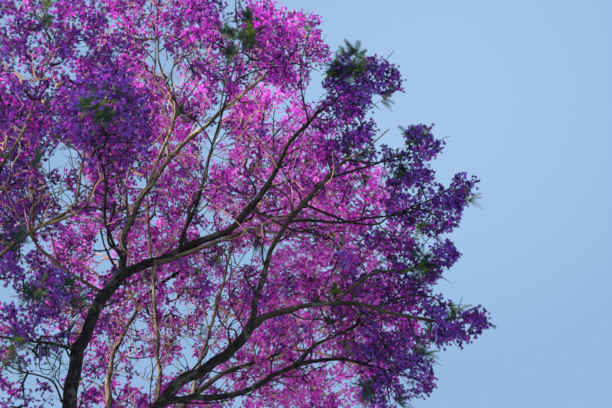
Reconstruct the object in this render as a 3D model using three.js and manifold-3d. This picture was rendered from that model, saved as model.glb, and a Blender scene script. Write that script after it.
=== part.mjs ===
// A jacaranda tree in full bloom: a low forking trunk, its limbs, and the masses of blossom that they carry.
// Millimetres, +Z up. The origin is the middle of the flat cut under the trunk, at ground level.
import * as THREE from "three";
import { mergeVertices } from "three/addons/utils/BufferGeometryUtils.js";
import Module from "manifold-3d";

const wasm = await Module();
wasm.setup();

// Trunk
const trunkFork = [200, 40, 2750]; // middle of the fork, above the foot
const trunkLean = [60, 10, 1400]; // the trunk's middle, half way up
const breastGirth = 560; // across, where the flare has died away
const forkGirth = 520; // across, just under the fork
const flareShare = 0.75; // how much wider the foot is than the trunk
const flareHeight = 300; // height in which the flare falls to a third
const rootRidges = 6; // ridges of the root flare
const ridgeShare = 0.13; // how far they stand out at the foot
const trunkSides = 18; // three for each ridge
const trunkLevels = [0, 90, 220, 400, 650, 1000, 1500, 2100, 2600];
const shoulderPart = 0.72; // the trunk's top ring, drawn in between the stems

// Limbs and masses
const seatGap = 0.5; // between a limb and what carries it
const stemGap = 0.3; // between a limb's tip and the stem of its mass
const wavePart = 0.22; // waver of a limb, as a part of its root girth
const waveTurns = [7, 9]; // radians of waver along a limb, sideways and up and down
const collarPart = 0.35; // swelling of a limb where it leaves its parent
const slimGirth = 90; // limbs under this have fewer sides
const ringsPerRun = [2, 3]; // rings between two points that a slim or a stout limb passes
const limbSides = [5, 7]; // of a slim or a stout limb
const cellGap = 25; // half the gap between neighbouring masses
const limbGap = 25; // between a spray or twig and any limb
const clearSteps = 6; // points along a spray or twig at which that gap is looked at
const stemElbow = 0.12; // a stem's straight start, as a part of its mass's reach
const stemBeyond = 0.35; // how far it runs past the middle
const stemTaper = [1, 0.95, 0.8, 0.62, 0.3]; // its radius from root to end
const firstTwig = 0.12; // where along the stem the first twig stands
const goldenTurn = 137.5; // degrees from one twig to the next round a stem
const turnPlay = 40; // degrees that the seeded rule adds to that, at most
const twigSpread = [72, 38]; // degrees that the first and last twigs lean off the stem
const twigReach = 0.8; // of the way to the edge of the space
const roomSteps = 24; // steps of a reach in which that way is measured
const twigThickness = 26; // across, at the root of a twig
const twigCount = [3.2, 600]; // a fixed part, and one more for each so much of the mass's reach
const sprayLength = [400, 0.42]; // a fixed part, and a part that grows with the mass
const sprayWidthPart = 0.56;
const sprayThickPart = 0.04;
const sprayBelly = 0.55; // where along a spray it is widest
const sprayLean = [1.1, 0.3]; // how far a side spray and an end spray lean off the twig
const smallerParts = [1, 0.75, 0.55]; // sizes tried until a spray fits
const sprayTilt = 2.2; // radians through which blades are turned off the level, either way together
const sprayShares = [0.5, 0.78, 1]; // where sprays stand along a twig
const woodColour = 0x4b433c;
const litWoodColour = 0x8a6a4c;
const violetColour = 0x6a4fb8;
const magentaColour = 0xb043c4;

// Each limb leaves its parent at a share of the parent's length, passes the points of by, and ends at tip.
// girth is its width across at root and tip. middle and reach are the centre and radius of its mass's space.
const limbs = {
  stem_main: { from: "trunk", share: 0.97, by: [[430, 30, 3800]], tip: [770, 0, 5150], girth: [360, 270] },
  stem_left: { from: "trunk", share: 0.95, by: [[-450, -120, 3700]], tip: [-1450, -450, 4900], girth: [320, 230] },
  stem_back: { from: "trunk", share: 0.96, by: [[330, 620, 3900]], tip: [850, 1120, 5350], girth: [300, 220] },

  bough_upright: {
    from: "stem_main", share: 0.98, by: [[470, -60, 6600], [560, -200, 7450]], tip: [1020, -400, 8180],
    girth: [205, 165],
  },
  bough_low: {
    from: "stem_main", share: 0.98, by: [[1670, -300, 6200], [2060, -530, 6560], [2540, -800, 6640]],
    tip: [2850, -1000, 7010], girth: [170, 130],
  },

  bough_top: {
    from: "bough_upright", share: 0.99, by: [[970, -500, 8880], [1460, -700, 9960], [2350, -900, 10860]],
    tip: [2880, -1050, 11450], girth: [112, 48], middle: [3250, -1100, 12160], reach: 860,
  },
  bough_near: {
    from: "bough_top", share: 0.07, by: [[900, -1200, 8400], [1060, -2000, 8330]], tip: [1040, -2600, 8350],
    girth: [52, 32], middle: [1200, -2950, 8600], reach: 660,
  },
  bough_crest: {
    from: "bough_top", share: 0.4, by: [[1570, -1150, 10400]], tip: [1380, -1620, 10950],
    girth: [62, 36], middle: [1300, -1850, 11550], reach: 1100,
  },
  bough_long: {
    from: "bough_upright", share: 0.98, by: [[1810, -600, 8420], [2730, -900, 8830], [3350, -1370, 9800]],
    tip: [3950, -1480, 10450], girth: [142, 40], middle: [4400, -1500, 10770], reach: 680,
  },
  bough_front: {
    from: "bough_long", share: 0.25, by: [[2060, -1200, 8930]], tip: [2420, -2050, 9750],
    girth: [62, 34], middle: [2600, -2450, 10450], reach: 950,
  },
  bough_inner: {
    from: "bough_long", share: 0.5, by: [[3290, -350, 8960]], tip: [3720, 50, 9150],
    girth: [50, 34], middle: [4150, 450, 9650], reach: 1100,
  },

  bough_right: {
    from: "bough_low", share: 0.98, by: [[2920, -1100, 7520], [3290, -1300, 8350]], tip: [4020, -1500, 9250],
    girth: [98, 48], middle: [4060, -1600, 9780], reach: 620,
  },
  bough_right_tip: {
    from: "bough_right", share: 0.9, by: [[4430, -1400, 9250]], tip: [4780, -1340, 9450],
    girth: [40, 28], middle: [5100, -1300, 9610], reach: 490,
  },
  bough_right_mid: {
    from: "bough_right", share: 0.66, by: [[4090, -1200, 8450]], tip: [4750, -1080, 8680],
    girth: [48, 30], middle: [5200, -1000, 8960], reach: 720,
  },
  bough_level: {
    from: "bough_low", share: 0.98, by: [[3250, -1000, 7200], [4030, -900, 7370]], tip: [5060, -800, 7170],
    girth: [105, 40], middle: [5400, -800, 7210], reach: 460,
  },
  bough_level_up: {
    from: "bough_level", share: 0.6, by: [[4390, -700, 7950]], tip: [4880, -500, 8130],
    girth: [48, 30], middle: [5180, -480, 8390], reach: 600,
  },
  bough_under: {
    from: "bough_low", share: 0.28, by: [[2620, -100, 6530], [3260, 100, 6960]], tip: [4450, 380, 7150],
    girth: [98, 38], middle: [4770, 400, 7060], reach: 660,
  },
  bough_under_up: {
    from: "bough_under", share: 0.55, by: [[3640, 400, 7500]], tip: [4150, 700, 7950],
    girth: [52, 34], middle: [4600, 950, 8350], reach: 950,
  },

  bough_behind: {
    from: "stem_back", share: 0.98, by: [[1550, 1000, 6600], [2200, 1350, 7500]], tip: [3000, 2050, 8250],
    girth: [130, 62], middle: [3650, 2600, 9000], reach: 1800,
  },
  bough_behind_up: {
    from: "bough_behind", share: 0.5, by: [[2050, 1500, 8700]], tip: [2250, 1650, 10100],
    girth: [70, 45], middle: [2650, 1250, 11450], reach: 1620,
  },
  bough_back_left: {
    from: "stem_back", share: 0.98, by: [[670, 1250, 6900], [530, 1550, 7800]], tip: [650, 2050, 8950],
    girth: [115, 60], middle: [350, 2750, 10000], reach: 1850,
  },
  bough_back_mid: {
    from: "stem_back", share: 0.97, by: [[1380, 850, 6750], [1300, 1050, 7950]], tip: [950, 1050, 9900],
    girth: [100, 50], middle: [750, 750, 11450], reach: 1750,
  },
  bough_back_right: {
    from: "stem_back", share: 0.6, by: [[1700, 1500, 5200]], tip: [3000, 2300, 5750],
    girth: [110, 60], middle: [4000, 2700, 6300], reach: 1550,
  },
  bough_back_far: {
    from: "stem_back", share: 0.8, by: [[700, 2200, 5800]], tip: [650, 3300, 6700],
    girth: [120, 62], middle: [700, 4300, 7500], reach: 1850,
  },

  bough_left_in: {
    from: "stem_left", share: 0.99, by: [[-1450, -850, 6400], [-400, -1200, 7920]], tip: [450, -1500, 8350],
    girth: [105, 50], middle: [560, -1650, 9250], reach: 950,
  },
  bough_left_side: {
    from: "bough_upright", share: 0.86, by: [[-50, -850, 8250]], tip: [-150, -1150, 8750],
    girth: [62, 38], middle: [-400, -1150, 9600], reach: 1050,
  },
  bough_left_front: {
    from: "bough_left_in", share: 0.4, by: [[-900, -1700, 7600]], tip: [-50, -2350, 8800],
    girth: [70, 38], middle: [180, -2650, 9850], reach: 1100,
  },
  bough_left_low: {
    from: "bough_upright", share: 0.5, by: [[200, -400, 7050]], tip: [-100, -640, 7000],
    girth: [58, 36], middle: [-510, -950, 6920], reach: 1400,
  },
  bough_far_left: {
    from: "stem_left", share: 0.98, by: [[-2500, -450, 6100]], tip: [-3450, -400, 7000],
    girth: [140, 66], middle: [-4250, -300, 7950], reach: 2050,
  },
  bough_left_near: {
    from: "stem_left", share: 0.85, by: [[-2000, -1400, 5700]], tip: [-2350, -2050, 6700],
    girth: [120, 60], middle: [-2650, -2600, 7950], reach: 1900,
  },
  bough_left_back: {
    from: "stem_left", share: 0.75, by: [[-1900, 900, 5900]], tip: [-2600, 1900, 7300],
    girth: [125, 62], middle: [-3000, 2500, 8400], reach: 1900,
  },
  bough_left_top: {
    from: "stem_left", share: 0.99, by: [[-1900, 0, 7000]], tip: [-1850, 100, 8800],
    girth: [140, 66], middle: [-2100, 150, 10350], reach: 2000,
  },
};

const vec = (p) => new THREE.Vector3(p[0], p[1], p[2]);
const up = vec([0, 0, 1]);
const aside = vec([0.3, 1, 0.2]); // lies along no stem
const group = new THREE.Group();
group.name = "jacaranda";

// The same seed gives the same row of numbers from 0 to 1.
function lottery(seed) {
  let state = 1 + (seed * 7919) % 2147483646;
  return () => {
    state = (state * 48271) % 2147483647;
    return state / 2147483647;
  };
}

function solidOf(positions, faces) {
  const geometry = new THREE.BufferGeometry();
  geometry.setAttribute("position", new THREE.Float32BufferAttribute(positions, 3));
  geometry.setIndex(faces);
  const merged = mergeVertices(geometry, 1e-3);
  return new wasm.Manifold(new wasm.Mesh({
    numProp: 3,
    vertProperties: merged.attributes.position.array,
    triVerts: new Uint32Array(merged.index.array),
  }));
}

function addNode(name, solid, colour, roughness) {
  const made = solid.getMesh();
  const geometry = new THREE.BufferGeometry();
  geometry.setAttribute("position", new THREE.BufferAttribute(made.vertProperties, 3));
  geometry.setIndex(new THREE.BufferAttribute(made.triVerts, 1));
  const mesh = new THREE.Mesh(geometry, new THREE.MeshStandardMaterial({ color: colour, roughness, metalness: 0 }));
  mesh.name = name;
  group.add(mesh);
}

// Rings of points, all of one count, joined into a closed skin with a flat lid at each end.
function skinOfRings(rings) {
  const sides = rings[0].length;
  const positions = rings.flat().flatMap((p) => [p.x, p.y, p.z]);
  const faces = [];
  for (let i = 0; i + 1 < rings.length; i++) {
    for (let j = 0; j < sides; j++) {
      const a = i * sides + j;
      const b = i * sides + (j + 1) % sides;
      faces.push(a, b, b + sides, a, b + sides, a + sides);
    }
  }
  const last = (rings.length - 1) * sides;
  for (let j = 1; j + 1 < sides; j++) {
    faces.push(0, j + 1, j);
    faces.push(last, last + j, last + j + 1);
  }
  return solidOf(positions, faces);
}

// A tube through the points, with its own radius at each, whose section turns as little as it can.
function taperedTube(points, radii, sides) {
  const rings = [];
  let side = null;
  points.forEach((point, i) => {
    const ahead = points[Math.min(i + 1, points.length - 1)];
    const behind = points[Math.max(i - 1, 0)];
    const along = ahead.clone().sub(behind).normalize();
    const lead = side || (Math.abs(along.z) < 0.9 ? up : vec([1, 0, 0]));
    side = lead.clone().addScaledVector(along, -lead.dot(along)).normalize();
    const across = along.clone().cross(side);
    const ring = [];
    for (let j = 0; j < sides; j++) {
      const turn = (2 * Math.PI * j) / sides;
      ring.push(point.clone()
        .addScaledVector(side, radii[i] * Math.cos(turn))
        .addScaledVector(across, radii[i] * Math.sin(turn)));
    }
    rings.push(ring);
  });
  return skinOfRings(rings);
}

// The trunk's middle at a height, and its plain radius there without the flare.
function trunkAxis(height) {
  const share = height / trunkFork[2];
  const bow = 4 * share * (1 - share);
  return vec([
    trunkFork[0] * share + (trunkLean[0] - trunkFork[0] / 2) * bow,
    trunkFork[1] * share + (trunkLean[1] - trunkFork[1] / 2) * bow,
    height,
  ]);
}

function trunkRadius(height) {
  return THREE.MathUtils.lerp(breastGirth, forkGirth, height / trunkFork[2]) / 2;
}

function trunkSolid(extra) {
  const levels = [...trunkLevels, trunkFork[2] + extra];
  const rings = levels.map((height) => {
    const flare = 1 + flareShare * Math.exp(-height / flareHeight);
    const shoulder = height >= trunkFork[2] ? shoulderPart : 1;
    const axis = trunkAxis(height);
    const ring = [];
    for (let j = 0; j < trunkSides; j++) {
      const turn = (2 * Math.PI * j) / trunkSides;
      const ridge = 1 + ridgeShare * Math.cos(rootRidges * turn) * Math.exp(-height / (2 * flareHeight));
      const radius = trunkRadius(height) * flare * shoulder * ridge + extra;
      ring.push(axis.clone().add(vec([radius * Math.cos(turn), radius * Math.sin(turn), 0])));
    }
    return ring;
  });
  return skinOfRings(rings);
}

// The middle line of a limb: a smooth curve through its points, with a slow waver that dies at both ends.
function limbLine(limb, index) {
  const root = limb.from === "trunk"
    ? trunkAxis(trunkFork[2] * limb.share)
    : placed[limb.from].curve(limb.share);
  const spline = new THREE.CatmullRomCurve3([root, ...limb.by.map(vec), vec(limb.tip)], false, "catmullrom", 0.5);
  const draw = lottery(index + 1);
  const waves = [draw(), draw()].map((start) => start * 2 * Math.PI);
  const size = wavePart * limb.girth[0];
  return (share) => {
    const point = spline.getPoint(share);
    const swing = size * Math.sin(Math.PI * share);
    point.x += swing * Math.sin(waveTurns[0] * share + waves[0]);
    point.z += swing * Math.sin(waveTurns[1] * share + waves[1]);
    return point;
  };
}

function limbSolid(limb, extra) {
  const sides = limbSides[limb.stout];
  const points = limb.points.map((p) => p.clone());
  const end = points.length - 1;
  const ahead = points[end].clone().sub(points[end - 1]).normalize();
  const behind = points[0].clone().sub(points[1]).normalize();
  points[end].addScaledVector(ahead, extra);
  points[0].addScaledVector(behind, extra);
  return taperedTube(points, limb.radii.map((r) => r + extra), sides);
}

// The largest of the pieces that a cut leaves.
function mainPiece(solid) {
  return solid.decompose().reduce((best, piece) => (piece.volume() > best.volume() ? piece : best));
}

const placed = {};
const grown = { trunk: trunkSolid(seatGap) };
addNode("trunk", trunkSolid(0), woodColour, 0.9);

Object.entries(limbs).forEach(([name, limb], index) => {
  const curve = limbLine(limb, index);
  const stout = limb.girth[0] > slimGirth ? 1 : 0;
  const rings = ringsPerRun[stout] * (limb.by.length + 1);
  const points = [];
  const radii = [];
  const start = curve(0);
  const collarLength = limb.girth[0];
  for (let i = 0; i <= rings; i++) {
    const share = i / rings;
    const point = curve(share);
    const collar = 1 + collarPart * Math.exp(-point.distanceTo(start) / collarLength);
    points.push(point);
    radii.push((THREE.MathUtils.lerp(limb.girth[0], limb.girth[1], share) / 2) * collar);
  }
  placed[name] = { ...limb, stout, curve, points, radii };
  let solid = limbSolid(placed[name], 0);
  for (const other of Object.values(grown)) {
    solid = solid.subtract(other);
  }
  grown[name] = limbSolid(placed[name], seatGap);
  const lit = name.includes("back") || name.includes("behind");
  addNode(name, mainPiece(solid), lit ? litWoodColour : woodColour, 0.9);
});

// The space that a mass keeps to: a ball round its middle, cut flat where it meets its neighbours' balls.
const spaces = Object.entries(placed)
  .filter(([, limb]) => limb.reach)
  .map(([name, limb]) => ({ name, middle: vec(limb.middle), reach: limb.reach }));

function insideSpace(space, point) {
  const own = point.distanceToSquared(space.middle) - space.reach ** 2;
  if (own > 0) return false;
  return spaces.every((other) => {
    if (other === space) return true;
    const theirs = point.distanceToSquared(other.middle) - other.reach ** 2;
    return (theirs - own) / (2 * space.middle.distanceTo(other.middle)) > cellGap;
  });
}

const limbRuns = Object.values(placed).flatMap((limb) => limb.points.slice(1).map((end, i) => ({
  run: new THREE.Line3(limb.points[i], end),
  radius: Math.max(limb.radii[i], limb.radii[i + 1]),
})));

function clearOfLimbs(from, to, halfWidth) {
  const nearest = new THREE.Vector3();
  for (let i = 0; i <= clearSteps; i++) {
    const point = from.clone().lerp(to, i / clearSteps);
    const touches = limbRuns.some(({ run, radius }) => {
      run.closestPointToPoint(point, true, nearest);
      return nearest.distanceTo(point) < radius + halfWidth + limbGap;
    });
    if (touches) return false;
  }
  return true;
}

// A pointed blade of eight faces that stands for a whole spray, with its root sunk in the twig.
function spray(root, along, across, length) {
  const width = (length * sprayWidthPart) / 2;
  const thick = (length * sprayThickPart) / 2;
  const face = along.clone().cross(across).normalize();
  const belly = root.clone().addScaledVector(along, length * sprayBelly);
  const corners = [
    root,
    root.clone().addScaledVector(along, length),
    belly.clone().addScaledVector(across, width),
    belly.clone().addScaledVector(across, -width),
    belly.clone().addScaledVector(face, thick),
    belly.clone().addScaledVector(face, -thick),
  ];
  const faces = [0, 4, 2, 0, 3, 4, 0, 5, 3, 0, 2, 5, 1, 2, 4, 1, 4, 3, 1, 3, 5, 1, 5, 2];
  return { corners, solid: () => solidOf(corners.flatMap((p) => [p.x, p.y, p.z]), faces) };
}

// How far a straight line from a point stays inside the space.
function roomAlong(space, from, along) {
  const step = space.reach / roomSteps;
  let length = step;
  while (insideSpace(space, from.clone().addScaledVector(along, length))) length += step;
  return length - step;
}

function massOf(space, index) {
  const limb = placed[space.name];
  const draw = lottery(100 + index);
  const end = limb.points.length - 1;
  const tip = limb.points[end];
  const ahead = tip.clone().sub(limb.points[end - 1]).normalize();
  const start = tip.clone().addScaledVector(ahead, stemGap);
  const elbow = tip.clone().addScaledVector(ahead, stemElbow * space.reach);
  const beyond = space.middle.clone().sub(tip).normalize();
  const far = space.middle.clone().addScaledVector(beyond, stemBeyond * space.reach);
  const stem = new THREE.CatmullRomCurve3([elbow, space.middle, far], false, "catmullrom", 0.5);
  const stemPoints = [start, elbow, stem.getPoint(0.25), stem.getPoint(0.5), stem.getPoint(1)];
  const stemRadii = stemTaper.map((part) => limb.radii[end] * part);
  let solid = taperedTube(stemPoints, stemRadii, 3);
  const twigs = Math.round(twigCount[0] + space.reach / twigCount[1]);
  const length = sprayLength[0] + sprayLength[1] * space.reach;

  for (let k = 0; k < twigs; k++) {
    const share = THREE.MathUtils.lerp(firstTwig, 1, k / (twigs - 1));
    const base = stem.getPoint(share);
    const trend = stem.getTangent(share);
    const turn = THREE.MathUtils.degToRad(k * goldenTurn + turnPlay * draw());
    const lean = THREE.MathUtils.degToRad(THREE.MathUtils.lerp(twigSpread[0], twigSpread[1], share));
    const side = aside.clone().cross(trend).normalize().applyAxisAngle(trend, turn);
    const heading = trend.clone().multiplyScalar(Math.cos(lean)).addScaledVector(side, Math.sin(lean));
    const room = roomAlong(space, base, heading) * twigReach;
    const point = base.clone().addScaledVector(heading, room);
    const thick = twigThickness / 2;
    if (!clearOfLimbs(base, point, thick)) continue;
    solid = solid.add(taperedTube([base, point], [thick, thick / 2], 3));

    for (const place of sprayShares) {
      const foot = base.clone().lerp(point, place);
      const hand = draw() < 0.5 ? -1 : 1;
      const sideways = side.clone().applyAxisAngle(heading, Math.PI * draw()).multiplyScalar(hand);
      const lead = heading.clone().addScaledVector(sideways, sprayLean[place < 1 ? 0 : 1]).normalize();
      const flat = lead.clone().cross(up).normalize().applyAxisAngle(lead, sprayTilt * (draw() - 0.5));
      for (const part of smallerParts) {
        const blade = spray(foot.clone().addScaledVector(lead, -thick), lead, flat, length * part);
        const fits = blade.corners.every((corner) => insideSpace(space, corner))
          && clearOfLimbs(blade.corners[0], blade.corners[1], (length * part * sprayWidthPart) / 2);
        if (!fits) continue;
        solid = solid.add(blade.solid());
        break;
      }
    }
  }
  return mainPiece(solid);
}

spaces.forEach((space, index) => {
  const solid = massOf(space, index);
  const shaded = space.middle.x > 4000 || space.middle.y < -1500;
  addNode(space.name.replace("bough", "mass"), solid, shaded ? violetColour : magentaColour, 0.8);
});

export default group;
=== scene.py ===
# A jacaranda tree in full bloom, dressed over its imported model: bark, twigs, blossom and fern leaves.
import math

import bpy
import numpy as np
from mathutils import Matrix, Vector


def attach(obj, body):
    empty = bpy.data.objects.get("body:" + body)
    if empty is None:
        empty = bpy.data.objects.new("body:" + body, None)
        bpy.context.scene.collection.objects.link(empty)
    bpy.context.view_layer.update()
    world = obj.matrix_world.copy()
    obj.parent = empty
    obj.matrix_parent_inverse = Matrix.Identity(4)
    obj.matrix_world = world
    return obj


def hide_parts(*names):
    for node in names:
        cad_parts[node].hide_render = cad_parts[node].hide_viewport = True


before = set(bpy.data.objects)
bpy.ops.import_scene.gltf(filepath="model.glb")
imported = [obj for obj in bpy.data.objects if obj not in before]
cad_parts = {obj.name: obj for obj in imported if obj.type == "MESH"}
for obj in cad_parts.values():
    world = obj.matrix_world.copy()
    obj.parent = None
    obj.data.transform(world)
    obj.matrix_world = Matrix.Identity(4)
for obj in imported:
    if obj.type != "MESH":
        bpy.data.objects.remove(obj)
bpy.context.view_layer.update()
print("frame loaded:", len(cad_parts), "nodes")

# The photograph's view. Places that were read off it are given as (across, down, y):
# a picture point and how deep it lies in the tree.
shot = {"place": (3.5, -10.0, 1.6), "tilt": 39, "lens": 50, "sensor": 36, "width": 612, "height": 408}
focal = shot["lens"] / shot["sensor"] * shot["width"]
tilt = math.radians(shot["tilt"])
eye = np.array(shot["place"])
ahead = np.array([0, math.cos(tilt), math.sin(tilt)])
upward = np.array([0, -math.sin(tilt), math.cos(tilt)])
sideways = np.array([1.0, 0, 0])
# Where each lottery of places, sizes and tints starts
seeds = {"trunk": 3, "limb": 300, "skin": 11, "shoot": 900, "mass": 500, "massTwig": 100, "fork": 33,
         "twig": 41, "spray": 77, "blossom": 91, "leaf": 55}


def seen(across, down, y):
    ray = (ahead + sideways * ((across - shot["width"] / 2) / focal)
           - upward * ((down - shot["height"] / 2) / focal))
    return eye + ray * ((y - eye[1]) / ray[1])


def picturePoint(points):
    offset = np.asarray(points, float) - eye
    depth = np.maximum(offset @ ahead, 0.1)
    return np.stack([shot["width"] / 2 + (offset @ sideways) / depth * focal,
                     shot["height"] / 2 - (offset @ upward) / depth * focal], -1)


# Small helpers for points and meshes
def unit(v):
    v = np.asarray(v, float)
    return v / np.maximum(np.linalg.norm(v, axis=-1, keepdims=True), 1e-9)


def lerp(a, b, share):
    return a + (b - a) * share


def lengths(v):
    return np.linalg.norm(v, axis=-1)


def runAlong(line):
    # How far along a line each of its points lies
    return np.concatenate([[0], np.cumsum(lengths(np.diff(line, axis=0)))])


def placeAlong(line, run, far):
    return np.stack([np.interp(far, run, line[:, i]) for i in range(3)], -1)


def turned(v, axis, angle):
    # v, at right angles to axis, turned about it
    angle = np.asarray(angle)[..., None]
    return v * np.cos(angle) + np.cross(axis, v) * np.sin(angle)


def lottery(seed, factor=48271, top=2147483647):
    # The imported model's own draws, so that its limbs wave the same way here
    state = [1 + (seed * 7919) % (top - 1)]

    def draw():
        state[0] = (state[0] * factor) % top
        return state[0] / top
    return draw


def makeMesh(name, points, faces, material, smooth=False, extra=None):
    mesh = bpy.data.meshes.new(name)
    points = np.asarray(points, np.float32)
    faces = np.asarray(faces, np.int32)
    mesh.vertices.add(len(points))
    mesh.vertices.foreach_set("co", points.ravel())
    mesh.loops.add(faces.size)
    mesh.loops.foreach_set("vertex_index", faces.ravel())
    mesh.polygons.add(len(faces))
    corners = faces.shape[1]
    mesh.polygons.foreach_set("loop_start", np.arange(0, faces.size, corners, dtype=np.int32))
    mesh.polygons.foreach_set("loop_total", np.full(len(faces), corners, np.int32))
    mesh.polygons.foreach_set("use_smooth", np.full(len(faces), smooth))
    for key, values in (extra or {}).items():
        kind = "FLOAT_VECTOR" if np.ndim(values) == 2 else "FLOAT"
        field = "vector" if kind == "FLOAT_VECTOR" else "value"
        mesh.attributes.new(key, kind, "POINT").data.foreach_set(
            field, np.asarray(values, np.float32).ravel())
    mesh.update(calc_edges=True)
    mesh.materials.append(material)
    made = bpy.data.objects.new(name, mesh)
    bpy.context.scene.collection.objects.link(made)
    return made


# Trunk and limbs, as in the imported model, in metres
trunk = {
    "fork": (0.2, 0.04, 2.75), "lean": (0.06, 0.01), "girth": (0.56, 0.52), "flare": 0.75,
    "flareHeight": 0.3, "ridges": 6, "ridgeShare": 0.13, "grain": 0.28,
    # its ripples, as (how many, whole turns round it, pace along it)
    "ripple": 0.02, "waves": [(5, (1, 4), (2, 7)), (7, (14, 30), (3, 12))],
    # how its top closes, as (height past the fork, share of its girth)
    "closing": [(-0.3, 1), (0, 0.8), (0.05, 0.62), (0.09, 0.36), (0.11, 0.02)],
}
limbRule = {
    "wave": 0.22, "waveTurns": (7, 9), "collar": 0.22, "kink": 0.016, "kinkGirth": 0.09,
    "kinkStep": (0.18, 0.5), "settle": 8,
}
limbParts = ("from", "share", "by", "tip", "girth", "middle", "reach")
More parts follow.
